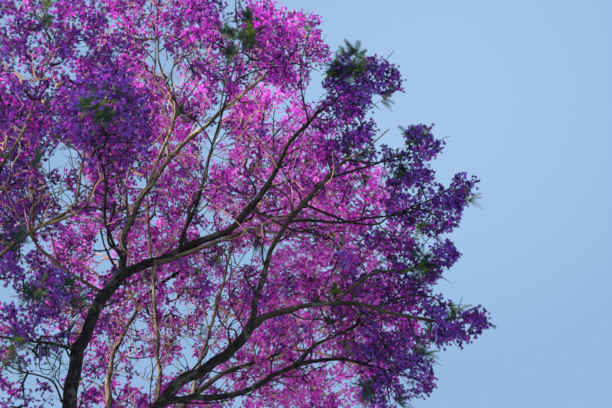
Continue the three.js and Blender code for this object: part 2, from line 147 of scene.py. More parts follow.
# For each: what it leaves, how far along that, points on its way, its tip, its girths at foot and tip,
# and the middle and reach of its mass
limbs = {
    "stem_main": ("trunk", 0.97, [(0.43, 0.03, 3.8)], (0.77, 0, 5.15), (0.36, 0.27)),
    "stem_left": ("trunk", 0.95, [(-0.45, -0.12, 3.7)], (-1.45, -0.45, 4.9), (0.32, 0.23)),
    "stem_back": ("trunk", 0.96, [(0.33, 0.62, 3.9)], (0.85, 1.12, 5.35), (0.3, 0.22)),
    "bough_upright": ("stem_main", 0.98, [(0.47, -0.06, 6.6), (0.56, -0.2, 7.45)], (1.02, -0.4, 8.18),
        (0.205, 0.165)),
    "bough_low": ("stem_main", 0.98, [(1.67, -0.3, 6.2), (2.06, -0.53, 6.56), (2.54, -0.8, 6.64)],
        (2.85, -1.0, 7.01), (0.17, 0.13)),
    "bough_top": ("bough_upright", 0.99, [(0.97, -0.5, 8.88), (1.46, -0.7, 9.96), (2.35, -0.9, 10.86)],
        (2.88, -1.05, 11.45), (0.112, 0.048), (3.25, -1.1, 12.16), 0.86),
    "bough_near": ("bough_top", 0.07, [(0.9, -1.2, 8.4), (1.06, -2.0, 8.33)], (1.04, -2.6, 8.35),
        (0.052, 0.032), (1.2, -2.95, 8.6), 0.66),
    "bough_crest": ("bough_top", 0.4, [(1.57, -1.15, 10.4)], (1.38, -1.62, 10.95), (0.062, 0.036),
        (1.3, -1.85, 11.55), 1.1),
    "bough_long": ("bough_upright", 0.98, [(1.81, -0.6, 8.42), (2.73, -0.9, 8.83), (3.35, -1.37, 9.8)],
        (3.95, -1.48, 10.45), (0.142, 0.04), (4.4, -1.5, 10.77), 0.68),
    "bough_front": ("bough_long", 0.25, [(2.06, -1.2, 8.93)], (2.42, -2.05, 9.75), (0.062, 0.034),
        (2.6, -2.45, 10.45), 0.95),
    "bough_inner": ("bough_long", 0.5, [(3.29, -0.35, 8.96)], (3.72, 0.05, 9.15), (0.05, 0.034),
        (4.15, 0.45, 9.65), 1.1),
    "bough_right": ("bough_low", 0.98, [(2.92, -1.1, 7.52), (3.29, -1.3, 8.35)], (4.02, -1.5, 9.25),
        (0.098, 0.048), (4.06, -1.6, 9.78), 0.62),
    "bough_right_tip": ("bough_right", 0.9, [(4.43, -1.4, 9.25)], (4.78, -1.34, 9.45), (0.04, 0.028),
        (5.1, -1.3, 9.61), 0.49),
    "bough_right_mid": ("bough_right", 0.66, [(4.09, -1.2, 8.45)], (4.75, -1.08, 8.68), (0.048, 0.03),
        (5.2, -1.0, 8.96), 0.72),
    "bough_level": ("bough_low", 0.98, [(3.25, -1.0, 7.2), (4.03, -0.9, 7.37)], (5.06, -0.8, 7.17),
        (0.105, 0.04), (5.4, -0.8, 7.21), 0.46),
    "bough_level_up": ("bough_level", 0.6, [(4.39, -0.7, 7.95)], (4.88, -0.5, 8.13), (0.048, 0.03),
        (5.18, -0.48, 8.39), 0.6),
    "bough_under": ("bough_low", 0.28, [(2.62, -0.1, 6.53), (3.26, 0.1, 6.96), (3.9, 0.2, 7.19)],
        (4.45, 0.38, 7.15), (0.098, 0.038), (4.77, 0.4, 7.06), 0.66),
    "bough_under_up": ("bough_under", 0.55, [(3.64, 0.4, 7.5)], (4.15, 0.7, 7.95), (0.052, 0.034),
        (4.6, 0.95, 8.35), 0.95),
    "bough_behind": ("stem_back", 0.98, [(1.55, 1.0, 6.6), (2.2, 1.35, 7.5)], (3.0, 2.05, 8.25),
        (0.13, 0.062), (3.65, 2.6, 9.0), 1.8),
    "bough_behind_up": ("bough_behind", 0.5, [(2.05, 1.5, 8.7)], (2.25, 1.65, 10.1), (0.07, 0.045),
        (2.65, 1.25, 11.45), 1.62),
    "bough_back_left": ("stem_back", 0.98, [(0.67, 1.25, 6.9), (0.53, 1.55, 7.8)], (0.65, 2.05, 8.95),
        (0.115, 0.06), (0.35, 2.75, 10.0), 1.85),
    "bough_back_mid": ("stem_back", 0.97, [(1.38, 0.85, 6.75), (1.3, 1.05, 7.95)], (0.95, 1.05, 9.9),
        (0.1, 0.05), (0.75, 0.75, 11.45), 1.75),
    "bough_back_right": ("stem_back", 0.6, [(1.7, 1.5, 5.2)], (3.0, 2.3, 5.75), (0.11, 0.06),
        (4.0, 2.7, 6.3), 1.55),
    "bough_back_far": ("stem_back", 0.8, [(0.7, 2.2, 5.8)], (0.65, 3.3, 6.7), (0.12, 0.062),
        (0.7, 4.3, 7.5), 1.85),
    "bough_left_in": ("stem_left", 0.99, [(-1.45, -0.85, 6.4), (-0.4, -1.2, 7.92)], (0.45, -1.5, 8.35),
        (0.105, 0.05), (0.56, -1.65, 9.25), 0.95),
    "bough_left_side": ("bough_upright", 0.86, [(-0.05, -0.85, 8.25)], (-0.15, -1.15, 8.75), (0.062, 0.038),
        (-0.4, -1.15, 9.6), 1.05),
    "bough_left_front": ("bough_left_in", 0.4, [(-0.9, -1.7, 7.6)], (-0.05, -2.35, 8.8), (0.07, 0.038),
        (0.18, -2.65, 9.85), 1.1),
    "bough_left_low": ("bough_upright", 0.5, [(0.2, -0.4, 7.05)], (-0.1, -0.64, 7.0), (0.058, 0.036),
        (-0.51, -0.95, 6.92), 1.4),
    "bough_far_left": ("stem_left", 0.98, [(-2.5, -0.45, 6.1)], (-3.45, -0.4, 7.0), (0.14, 0.066),
        (-4.25, -0.3, 7.95), 2.05),
    "bough_left_near": ("stem_left", 0.85, [(-2.0, -1.4, 5.7)], (-2.35, -2.05, 6.7), (0.12, 0.06),
        (-2.65, -2.6, 7.95), 1.9),
    "bough_left_back": ("stem_left", 0.75, [(-1.9, 0.9, 5.9)], (-2.6, 1.9, 7.3), (0.125, 0.062),
        (-3.0, 2.5, 8.4), 1.9),
    "bough_left_top": ("stem_left", 0.99, [(-1.9, 0.0, 7.0)], (-1.85, 0.1, 8.8), (0.14, 0.066),
        (-2.1, 0.15, 10.35), 2.0),
}


def trunkAxis(height):
    share = np.asarray(height, float) / trunk["fork"][2]
    bow = 4 * share * (1 - share)
    flat = [trunk["fork"][i] * share + (trunk["lean"][i] - trunk["fork"][i] / 2) * bow for i in (0, 1)]
    return np.stack([*flat, share * trunk["fork"][2]], -1)


def splineThrough(points):
    points = np.asarray(points, float)
    full = np.vstack([2 * points[0] - points[1], points, 2 * points[-1] - points[-2]])
    runs = len(points) - 1

    def at(share):
        place = np.clip(np.atleast_1d(share), 0, 1) * runs
        k = np.minimum(place.astype(int), runs - 1)
        t = (place - k)[:, None]
        p0, p1, p2, p3 = full[k], full[k + 1], full[k + 2], full[k + 3]
        m1, m2 = (p2 - p0) / 2, (p3 - p1) / 2
        return (2 * p1 - 2 * p2 + m1 + m2) * t**3 + (3 * p2 - 3 * p1 - 2 * m1 - m2) * t**2 + m1 * t + p1
    return at


placed = {}
for index, (name, row) in enumerate(limbs.items()):
    limb = dict(zip(limbParts, row))
    if limb["from"] == "trunk":
        root = trunkAxis(trunk["fork"][2] * limb["share"])
    else:
        root = placed[limb["from"]]["curve"](limb["share"])[0]
    draw = lottery(index + 1)
    phases = [draw() * 2 * math.pi, draw() * 2 * math.pi]
    rng = np.random.default_rng(index + seeds["limb"])
    corners = [root, *limb["by"], limb["tip"]]
    span = lengths(np.diff(corners, axis=0)).sum()
    bends = np.cumsum(rng.uniform(*limbRule["kinkStep"], int(span / limbRule["kinkStep"][0]) + 3)) / span
    kinkSize = limbRule["kink"] + limbRule["kinkGirth"] * limb["girth"][0]
    kinks = rng.uniform(-1, 1, (len(bends), 3)) * kinkSize

    def curve(share, spline=splineThrough(corners), size=limbRule["wave"] * limb["girth"][0], phases=phases,
              bends=bends, kinks=kinks):
        share = np.clip(np.atleast_1d(np.asarray(share, float)), 0, 1)
        line = spline(share)
        swing = size * np.sin(math.pi * share)
        line[:, 0] += swing * np.sin(limbRule["waveTurns"][0] * share + phases[0])
        line[:, 2] += swing * np.sin(limbRule["waveTurns"][1] * share + phases[1])
        settle = np.clip(np.minimum(share, 1 - share) * limbRule["settle"], 0, 1)
        for i in range(3):
            line[:, i] += settle * np.interp(share, bends, kinks[:, i])
        return line

    placed[name] = {**limb, "curve": curve}
print("limbs laid out:", len(placed))

# The space of each mass: a ball round its middle, cut flat where it meets its neighbours'
spaces = [name for name in placed if "reach" in placed[name]]
middles = np.array([placed[name]["middle"] for name in spaces])
reaches = np.array([placed[name]["reach"] for name in spaces])
cellGap = 0.025


def insideSpace(k, points, margin=0.0):
    own = ((points - middles[k])**2).sum(-1) - reaches[k]**2
    inside = lengths(points - middles[k]) <= reaches[k] - margin
    for other in range(len(spaces)):
        if other != k:
            theirs = ((points - middles[other])**2).sum(-1) - reaches[other]**2
            inside &= (theirs - own) / (2 * np.linalg.norm(middles[k] - middles[other])) > cellGap + margin
    return inside


# Where the sky shows through: (across, down, half width, half height, share that is left) in the photograph
skyGaps = [
    (106, 250, 18, 18, 0.06), (137, 335, 13, 16, 0.08), (143, 372, 19, 16, 0.05), (66, 173, 25, 34, 0.05),
    (118, 392, 8, 12, 0.1), (342, 50, 14, 10, 0.05), (380, 104, 12, 6, 0.1), (410, 160, 8, 8, 0.3),
    (160, 64, 14, 18, 0.2), (181, 77, 12, 14, 0.15), (213, 140, 17, 28, 0.07), (277, 119, 13, 18, 0.15),
    (388, 126, 19, 21, 0.0), (443, 174, 14, 11, 0.05), (455, 344, 14, 6, 0.1), (425, 244, 10, 8, 0.3),
    (447, 288, 24, 11, 0.0), (25, 385, 32, 26, 0.35), (178, 305, 16, 12, 0.3), (8, 290, 14, 14, 0.2),
    (232, 4, 10, 9, 0.0), (322, 66, 13, 9, 0.0), (230, 324, 16, 12, 0.3), (436, 347, 26, 9, 0.2)]
# The crown's right-hand outline there, as (down, furthest point across)
outlinePoints = [
    (-10, 262), (0, 272), (8, 283), (14, 300), (18, 333), (28, 336), (42, 338), (50, 330), (52, 380),
    (60, 394), (70, 400), (90, 406), (97, 400), (101, 392), (104, 368), (115, 384), (122, 378), (124, 430),
    (135, 440), (150, 445), (160, 444), (167, 436), (171, 466), (180, 475), (187, 481), (197, 477),
    (207, 472), (217, 470), (225, 459), (232, 467), (240, 471), (245, 454), (250, 459), (257, 462),
    (265, 461), (272, 454), (279, 438), (300, 440), (305, 464), (312, 485), (320, 490), (330, 487),
    (336, 480), (340, 452), (345, 432), (357, 438), (370, 440), (382, 439), (392, 432), (400, 429),
    (412, 415)]
outlineInset = 5
# Where it is full of blossom down to its lower edge: (across, down, half width, half height)
fullPlaces = [
    (252, 248, 24, 13), (360, 130, 14, 13), (160, 292, 9, 8), (208, 314, 14, 8), (112, 360, 9, 14),
    (135, 250, 8, 12), (230, 373, 14, 14), (255, 400, 10, 9), (48, 384, 14, 14), (96, 372, 8, 10),
    (143, 397, 12, 8), (458, 215, 10, 28)]


def beyondOutline(points, inset=outlineInset):
    across, down = picturePoint(points).T
    downs, acrosses = zip(*outlinePoints)
    return (across > np.interp(down, downs, acrosses) - inset) & (down > downs[0]) & (down < downs[-1])


# Thinner limbs that the photograph shows between the boughs: what each leaves, at the point nearest to its
# own first one, its girths, and its path
sideLimbs = {
    "forkLeft": ("bough_top", (0.055, 0.022), [(123, 264, -0.42), (120, 253, -0.45), (109, 245, -0.6),
        (108, 233, -0.8), (111, 221, -1.0), (115, 205, -1.3), (108, 189, -1.6), (102, 163, -2.0),
        (97, 147, -2.3), (90, 137, -2.5)]),
    "forkThin": ("bough_top", (0.032, 0.014), [(126, 227, -0.5), (126, 192, -0.9), (117, 172, -1.3),
        (108, 148, -1.8)]),
    "riser": ("bough_top", (0.05, 0.02), [(167, 160, -0.7), (167, 138, -0.9), (172, 123, -1.1),
        (176, 105, -1.3), (172, 76, -1.7), (177, 56, -2.0)]),
    "riserLeft": ("riser", (0.034, 0.012), [(175, 108, -1.25), (156, 80, -1.6), (155, 62, -1.8),
        (142, 45, -2.0), (134, 24, -2.2)]),
    "riserTip": ("riserLeft", (0.02, 0.01), [(155, 62, -1.8), (155, 32, -2.1), (151, 8, -2.3)]),
    "riserRight": ("riser", (0.03, 0.012), [(176, 112, -1.2), (182, 104, -1.2), (199, 81, -1.3),
        (199, 61, -1.5), (196, 46, -1.6)]),
    "longUp": ("bough_long", (0.05, 0.016), [(184, 244, -0.65), (185, 227, -0.75), (191, 209, -1.0),
        (199, 192, -1.2), (206, 177, -1.4), (207, 165, -1.5), (212, 148, -1.7), (221, 124, -1.9),
        (220, 112, -2.0), (225, 80, -2.3), (231, 59, -2.5), (238, 43, -2.6)]),
    "longUpFork": ("longUp", (0.026, 0.012), [(200, 187, -1.25), (180, 165, -1.3), (176, 158, -1.3)]),
    "longSide": ("bough_long", (0.032, 0.012), [(303, 122, -1.4), (302, 92, -1.6), (301, 63, -1.8),
        (310, 30, -2.0)]),
    "longSideIn": ("bough_long", (0.03, 0.012), [(274, 168, -1.05), (274, 145, -1.2), (273, 125, -1.4),
        (275, 108, -1.5)]),
    "longLevel": ("bough_long", (0.045, 0.016), [(252, 214, -0.9), (267, 216, -0.8), (291, 216, -0.6),
        (312, 222, -0.4)]),
    "greyFork": ("bough_long", (0.09, 0.018), [(148, 265, -0.5), (162, 262, -0.55), (178, 257, -0.62),
        (194, 250, -0.68), (210, 244, -0.72), (226, 238, -0.75), (243, 232, -0.78), (253, 230, -0.8),
        (264, 232, -0.84), (282, 234, -0.9), (300, 237, -0.95), (318, 237, -1.0)]),
    "greyTwig": ("greyFork", (0.034, 0.012), [(255, 229, -0.8), (270, 224, -0.85), (288, 219, -0.9),
        (305, 219, -0.95), (322, 216, -1.0)]),
    "rightSmall": ("bough_low", (0.034, 0.012), [(246, 338, -0.95), (238, 343, -1.0), (235, 330, -1.1),
        (226, 328, -1.2), (218, 314, -1.4), (219, 301, -1.5), (222, 290, -1.6)]),
    "rightBare": ("bough_right", (0.034, 0.018), [(347, 161, -1.5), (362, 153, -1.55), (375, 142, -1.6),
        (389, 129, -1.65)]),
    "rightLevel": ("bough_right", (0.034, 0.012), [(348, 161, -1.5), (362, 162, -1.45), (378, 162, -1.4),
        (393, 161, -1.35), (404, 155, -1.3), (410, 143, -1.3)]),
    "rightInner": ("bough_right", (0.03, 0.01), [(291, 215, -1.3), (290, 201, -1.45), (282, 191, -1.6),
        (265, 182, -1.8), (253, 175, -1.95), (246, 168, -2.05), (248, 157, -2.15), (249, 138, -2.3)]),
    "rightOut": ("bough_right", (0.045, 0.016), [(304, 203, -1.4), (319, 210, -1.35), (336, 217, -1.25),
        (351, 222, -1.2), (368, 224, -1.15), (380, 223, -1.1), (388, 217, -1.1), (406, 213, -1.05),
        (419, 205, -1.0), (431, 199, -1.0)]),
    "levelUp": ("bough_level", (0.042, 0.014), [(350, 303, -0.9), (355, 293, -0.85), (362, 286, -0.8),
        (373, 271, -0.7), (387, 271, -0.6), (409, 270, -0.5)]),
    "levelDown": ("bough_level", (0.03, 0.009), [(408, 325, -0.8), (413, 333, -0.8), (419, 341, -0.8),
        (414, 348, -0.8), (426, 357, -0.8)]),
    "levelBare": ("bough_level", (0.035, 0.01), [(378, 312, -0.8), (388, 303, -0.75), (400, 298, -0.75),
        (417, 295, -0.7), (435, 298, -0.7), (444, 305, -0.7), (462, 305, -0.7)]),
    "underUp": ("bough_under", (0.036, 0.014), [(290, 369, 0.1), (301, 357, 0.2), (316, 343, 0.4),
        (334, 336, 0.55), (355, 325, 0.7)]),
    "underLow": ("bough_under", (0.036, 0.014), [(170, 404, -0.2), (188, 403, -0.2), (209, 403, -0.15),
        (230, 400, -0.1), (240, 393, -0.1)]),
    "litSide": ("bough_back_left", (0.034, 0.014), [(111, 366, 1.5), (124, 357, 1.6), (134, 359, 1.65),
        (147, 357, 1.75), (156, 354, 1.8), (180, 340, 2.0)]),
    "leftCross": ("bough_left_in", (0.055, 0.02), [(50, 229, -1.4), (64, 219, -1.5), (80, 210, -1.55),
        (88, 200, -1.6), (96, 180, -1.8)]),
    "leftCrossOut": ("leftCross", (0.026, 0.01), [(64, 221, -1.5), (76, 222, -1.5), (88, 222, -1.5),
        (102, 219, -1.5)]),
    "leftRiseFork": ("bough_left_side", (0.03, 0.012), [(60, 262, -0.65), (54, 249, -0.8), (49, 232, -1.0),
        (32, 213, -1.2), (22, 200, -1.4)]),
    "leftHighFork": ("bough_left_front", (0.026, 0.01), [(24, 128, -2.4), (29, 118, -2.5), (40, 104, -2.6),
        (48, 102, -2.65), (59, 84, -2.75), (64, 70, -2.85)]),
    "leftLowTwig": ("bough_upright", (0.032, 0.012), [(76, 356, -0.1), (70, 350, -0.15), (69, 335, -0.3),
        (74, 325, -0.35), (82, 315, -0.4)]),
    "leftFoot": ("bough_upright", (0.04, 0.016), [(70, 408, -0.05), (62, 402, -0.1), (51, 380, -0.2),
        (21, 371, -0.4), (0, 360, -0.6)]),
}
lines = {}  # points of every limb, for what grows on it
for name, limb in placed.items():
    lines[name] = limb["curve"](np.linspace(0, 1, 60))
tooNear = 0.12  # a first point as near to the parent as this is left out
for name, (parent, girth, path) in sideLimbs.items():
    path = np.array([seen(*p) for p in path])
    start = lines[parent][lengths(lines[parent] - path[0]).argmin()]
    near = np.linalg.norm(path[0] - start)
    curve = splineThrough(np.vstack([start, path[1:] if near < tooNear else path]))
    sideLimbs[name] = {"on": parent, "girth": girth, "curve": curve}
    lines[name] = curve(np.linspace(0, 1, 40))
traced = list(lines)


def inPatch(across, down, patch):
    x, y, wide, high = patch[:4]
    return ((across - x) / wide)**2 + ((down - y) / high)**2 < 1


def inOpenSky(points):
    across, down = picturePoint(points).T
    inGap = any(inPatch(across, down, gap).any() for gap in skyGaps if not gap[4])
    return inGap or beyondOutline(points).any()


# Slender shoots between the boughs: each leaves its limb sideways, kinks a little and curves up, and forks
shootRule = {
    "every": 0.34, "shift": 0.12, "length": (0.5, 1.45), "girth": (0.034, 0.008), "size": (0.6, 1.15),
    "onParent": 0.7, "along": 0.5, "lift": 0.45, "curl": 0.5, "play": 0.11, "lowest": 5.6, "steps": 6,
    "look": 0.05,
}
forkRule = {
    "forks": 3, "between": (0.3, 0.95), "shift": 0.1, "length": (0.3, 0.75), "aside": 0.8, "lift": 0.2,
    "curl": 0.3, "steps": 5, "girth": (0.0068, 0.0028), "bloom": 0.42, "spray": 0.26,
}
shoots, forks = {}, []


def wander(base, heading, rule, rng):
    path, steps = [base], rule["steps"]
    length = rng.uniform(*rule["length"])
    for step in range(steps):
        path.append(path[-1] + heading * length / steps)
        heading = unit(heading + np.array([0, 0, rule["curl"] / steps])
                       + rng.normal(size=3) * shootRule["play"] * (2 + step))
    return np.array(path)


for order, name in enumerate(traced):
    limb = placed.get(name) or sideLimbs[name]
    rng = np.random.default_rng(seeds["shoot"] + order)
    line = lines[name]
    run = runAlong(line)
    starts = np.arange(rng.uniform(*shootRule["length"]) * 0.5, run[-1], shootRule["every"])
    for start in starts + rng.uniform(-shootRule["shift"], shootRule["shift"], len(starts)):
        base = placeAlong(line, run, start)
        onward = placeAlong(line, run, start + shootRule["look"]) - base
        if base[2] < shootRule["lowest"] or np.linalg.norm(onward) < 0.01:
            continue
        onward = unit(onward)
        side = unit(np.cross(onward, rng.normal(size=3)))
        heading = unit(side + shootRule["along"] * onward + np.array([0, 0, shootRule["lift"]]))
        path = wander(base, heading, shootRule, rng)
        size = shootRule["girth"][0] * rng.uniform(*shootRule["size"])
        size = min(size, shootRule["onParent"] * limb["girth"][1])
        if inOpenSky(path):
            continue
        key = "%s_shoot%d" % (name, len(shoots))
        curve = splineThrough(path)
        shoots[key] = {"on": name, "girth": (size, shootRule["girth"][1]), "curve": curve}
        count, shift = forkRule["forks"], forkRule["shift"]
        for share in np.linspace(*forkRule["between"], count) + rng.uniform(-shift, shift, count):
            lead = unit(curve(min(share + 0.05, 1))[0] - curve(share - 0.05)[0])
            aside = unit(np.cross(lead, rng.normal(size=3)))
            lift = np.array([0, 0, forkRule["lift"]])
            fork = wander(curve(share)[0], unit(lead + aside * forkRule["aside"] + lift), forkRule, rng)
            if not inOpenSky(fork):
                forks.append({"limb": name, "path": fork})
for name, shoot in shoots.items():
    lines[name] = shoot["curve"](np.linspace(0, 1, 16))
print("shoots:", len(shoots), "forks:", len(forks))


# Shader node groups and materials
def nodeGroup(name, inputs, outputs):
    group = bpy.data.node_groups.new(name, "ShaderNodeTree")
    for key, kind, value in inputs:
        socket = group.interface.new_socket(name=key, in_out="INPUT", socket_type=kind)
        if value is not None:
            socket.default_value = value
    for key, kind in outputs:
        group.interface.new_socket(name=key, in_out="OUTPUT", socket_type=kind)
    return group, group.nodes.new("NodeGroupInput"), group.nodes.new("NodeGroupOutput")


def addNode(tree, kind, links=None, **settings):
    # links: {input socket: what feeds it, a socket or a plain value}
    node = tree.nodes.new(kind)
    for key, value in settings.items():
        setattr(node, key, value)
    for key, value in (links or {}).items():
        if isinstance(value, bpy.types.NodeSocket):
            tree.links.new(value, node.inputs[key])
        else:
            node.inputs[key].default_value = value
    return node


def ranged(tree, value, low, high, toLow=0.0, toHigh=1.0):
    limits = {"From Min": low, "From Max": high, "To Min": toLow, "To Max": toHigh}
    return addNode(tree, "ShaderNodeMapRange", {"Value": value, **limits}).outputs[0]


def noise(tree, place, scale, detail):
    sockets = {"Vector": place, "Scale": scale, "Detail": detail}
    return addNode(tree, "ShaderNodeTexNoise", sockets).outputs["Fac"]


def times(tree, one, other):
    return addNode(tree, "ShaderNodeMath", {0: one, 1: other}, operation="MULTIPLY").outputs[0]


def blend(tree, share, one, other):
    sockets = {"Factor": share, "A": one, "B": other}
    return addNode(tree, "ShaderNodeMix", sockets, data_type="RGBA").outputs["Result"]


barkPattern = {  # noises as (scale, detail), and the range of each that is used
    "stretch": (1.0, 1.0, 0.22), "fissures": 26.0, "edge": 0.22,
    # the dapple noise makes patches of painted shade on the painted sunlit bark
    "fibre": (60.0, 5.0), "fibreRange": (0.32, 0.66), "paintedDapple": (9.0, 2.0), "paintedDappleRange": (0.4, 0.6, 0.3),
    "spots": (7.0, 3.0), "spotRange": (0.56, 0.68), "lichen": (0.3, 0.31, 0.27, 1),
    "roughness": (0.95, 0.72),
}


def barkGroup():
    # Fissures that run along a limb, plates between them, patches of lichen, and painted sunlight with
    # patches of painted shade
    group, given, out = nodeGroup(
        "barkFace",
        [("Scale", "NodeSocketFloat", 1.0),
         *[(tone, "NodeSocketColor", None) for tone in ("Dark", "Pale", "Lit Dark", "Lit Pale")],
         ("Lichen", "NodeSocketFloat", 0.3)],
        [("Color", "NodeSocketColor"), ("Height", "NodeSocketFloat"), ("Roughness", "NodeSocketFloat")])
    grain = addNode(group, "ShaderNodeAttribute", attribute_name="grain").outputs["Vector"]
    # lit: how much painted sunlight the bark gets
    lit = addNode(group, "ShaderNodeAttribute", attribute_name="lit").outputs["Fac"]
    long = addNode(group, "ShaderNodeVectorMath", {0: grain, 1: barkPattern["stretch"]},
                   operation="MULTIPLY")
    scaled = addNode(group, "ShaderNodeVectorMath", {0: long.outputs[0], "Scale": given.outputs["Scale"]},
                     operation="SCALE").outputs[0]
    sockets = {"Vector": scaled, "Scale": barkPattern["fissures"]}
    fissures = addNode(group, "ShaderNodeTexVoronoi", sockets, feature="DISTANCE_TO_EDGE")
    edge = ranged(group, fissures.outputs["Distance"], 0.0, barkPattern["edge"])
    fibre = ranged(group, noise(group, scaled, *barkPattern["fibre"]), *barkPattern["fibreRange"])
    tone = times(group, fibre, edge)
    # painted shade: in these patches the painted sunlight drops to 0.3 of its strength
    paintedDapple = ranged(group, noise(group, scaled, *barkPattern["paintedDapple"]), *barkPattern["paintedDappleRange"])
    litShare = times(group, lit, paintedDapple)
    # Lit Dark and Lit Pale are the painted sunlit copies of the bark's Dark and Pale
    darks = blend(group, litShare, given.outputs["Dark"], given.outputs["Lit Dark"])
    pales = blend(group, litShare, given.outputs["Pale"], given.outputs["Lit Pale"])
    spots = ranged(group, noise(group, grain, *barkPattern["spots"]), *barkPattern["spotRange"])
    spotted = times(group, spots, given.outputs["Lichen"])
    colour = blend(group, spotted, blend(group, tone, darks, pales), barkPattern["lichen"])
    group.links.new(colour, out.inputs["Color"])
    group.links.new(tone, out.inputs["Height"])
    group.links.new(ranged(group, tone, 0.0, 1.0, *barkPattern["roughness"]), out.inputs["Roughness"])
    return group


barkFace = barkGroup()


def newMaterial(name):
    material = bpy.data.materials.new(name)
    material.use_nodes = True
    return material, material.node_tree, material.node_tree.nodes["Principled BSDF"]


def barkMaterial(look):
    material, tree, shader = newMaterial("bark")
    face = addNode(tree, "ShaderNodeGroup", node_tree=barkFace)
    for key, value in look.items():
        face.inputs[key].default_value = (*value, 1) if isinstance(value, tuple) else value
    relief = {"Height": face.outputs["Height"], "Strength": 0.6, "Distance": 0.008}
    bump = addNode(tree, "ShaderNodeBump", relief)
    tree.links.new(face.outputs["Color"], shader.inputs["Base Color"])
    tree.links.new(face.outputs["Roughness"], shader.inputs["Roughness"])
    tree.links.new(bump.outputs[0], shader.inputs["Normal"])
    shader.inputs["Specular IOR Level"].default_value = 0.25
    return material


def leafyMaterial(name, colour, through, roughness):
    # A thin petal or leaf: a plain colour, and a share of the light that falls on its far side
    material, tree, shader = newMaterial(name)
    shader.inputs["Base Color"].default_value = (*colour, 1)
    shader.inputs["Roughness"].default_value = roughness
    shader.inputs["Specular IOR Level"].default_value = 0.3
    if through > 0:
        glow = addNode(tree, "ShaderNodeBsdfTranslucent", {"Color": (*colour, 1)})
        mix = addNode(tree, "ShaderNodeMixShader", {"Fac": through, 1: shader.outputs[0], 2: glow.outputs[0]})
        tree.links.new(mix.outputs[0], tree.nodes["Material Output"].inputs["Surface"])
    return material


def plain(red, green, blue):
    # A colour as a paint chart gives it, 0 to 255, in the light that Blender counts in
    return tuple(((c / 255 + 0.055) / 1.055)**2.4 if c > 10 else c / 255 / 12.92 for c in (red, green, blue))


# Limbs with the bark's relief
bark = {
    "ringStep": 0.055, "sideWidth": 0.018, "sides": (6, 30), "slim": 0.86, "knobs": 0.06, "fissures": 0.028,
    "foldWidth": 0.045, "kink": 0.3, "leastKink": 0.004, "kinkStep": (0.12, 0.35), "forkSwell": 0.12,
    # trunkLit: the trunk's painted sunlight; litFrom and litGain: how shoots take painted sunlight from their
    # limb
    "trunkStep": 0.05, "trunkSides": 60, "trunkLit": 0.28, "litFrom": 0.3, "litGain": 1.25,
    "pathSteps": 300, "settle": (0.15, 0.2), "foldCount": 6, "foldPace": (3, 14),
    "knobWaves": (5, (1, 3), (4, 16)),  # as for the trunk
    # the rings that close a limb, as (how far past its end, share of its radius)
    "dome": [(0.45, 0.88), (0.8, 0.55), (1.0, 0.05)],
    # Dark and Pale: the bark's own dark grey-brown, darkened to near black as painted shade; Lit Dark and Lit
    # Pale: painted sunlit bark
    "look": {"Dark": plain(5, 4, 6), "Pale": plain(46, 41, 41), "Lit Dark": plain(178, 148, 112),
             "Lit Pale": plain(255, 240, 208), "Lichen": 0.18, "Scale": 1.0},
    # painted sunlight on the bark: the side painted palest, and how bright it is painted: midway, its swing
    # round the limb, and the least
    "paintedSunSide": (-0.8, -0.4, -0.15), "sunSide": (0.4, 1.1, 0.04),
    "knot": {"every": 0.45, "shift": 0.15, "swell": 0.22, "strong": (0.1, 1), "long": 0.05, "wide": (0.4, 1)},
}
barkAll = barkMaterial(bark["look"])
# How much painted sunlight the bark gets, at a limb's foot and at its end; 0 where nothing is given
litLimbs = {
    "bough_top": (0.0, 1.5), "riser": (0.7, 1.0), "riserLeft": (1, 1), "riserTip": (1, 1),
    "riserRight": (1, 1), "bough_crest": (0.7, 1), "bough_left_in": (0.8, 0.8), "leftCross": (0.7, 0.7),
    "leftCrossOut": (0.8, 0.8), "bough_left_side": (0.4, 0.8), "leftRiseFork": (0.7, 0.8),
    "bough_left_front": (0.3, 0.6), "longUp": (0.1, 0.8), "longUpFork": (0.6, 0.8),
    "longLevel": (0.2, 0.5), "bough_inner": (0.4, 0.6), "underUp": (0.2, 0.4), "rightInner": (0.1, 0.3),
    "forkThin": (0.3, 0.6), "leftHighFork": (0.3, 0.7), "greyFork": (0.15, 0.6), "greyTwig": (0.4, 0.6),
    "rightBare": (0.5, 0.9), "bough_right": (0.04, 0.14), "bough_level": (0.04, 0.1),
    "bough_level_up": (0.12, 0.2), "levelUp": (0.1, 0.2), "bough_long": (0.0, 0.12),
    "stem_main": (0.35, 0.0), "stem_left": (0.35, 0.5), "stem_back": (0.35, 0.9),
    "bough_far_left": (0.5, 0.7), "bough_left_near": (0.5, 0.5), "bough_left_back": (0.5, 0.8),
    "bough_left_top": (0.5, 0.9),
}


def waves(rng, count, turns, pace):
    # Seeded ripples over a limb's skin; whole turns, so that they close round it
    return [(rng.integers(turns[0], turns[1] + 1), rng.uniform(*pace) * rng.choice([-1, 1]),
             rng.uniform(0, 2 * math.pi)) for _ in range(count)]


def rippled(ripples, turn, along):
    return sum(np.sin(a * turn + b * along + c) for a, b, c in ripples) / max(len(ripples), 1)


def framesAlong(points):
    along = unit(np.gradient(points, axis=0))
    side = np.zeros_like(points)
    lead = np.array([0, 0, 1.0]) if abs(along[0, 2]) < 0.9 else np.array([1.0, 0, 0])
    for i in range(len(points)):
        lead = unit(lead - along[i] * (lead @ along[i]))
        side[i] = lead
    return side, np.cross(along, side)


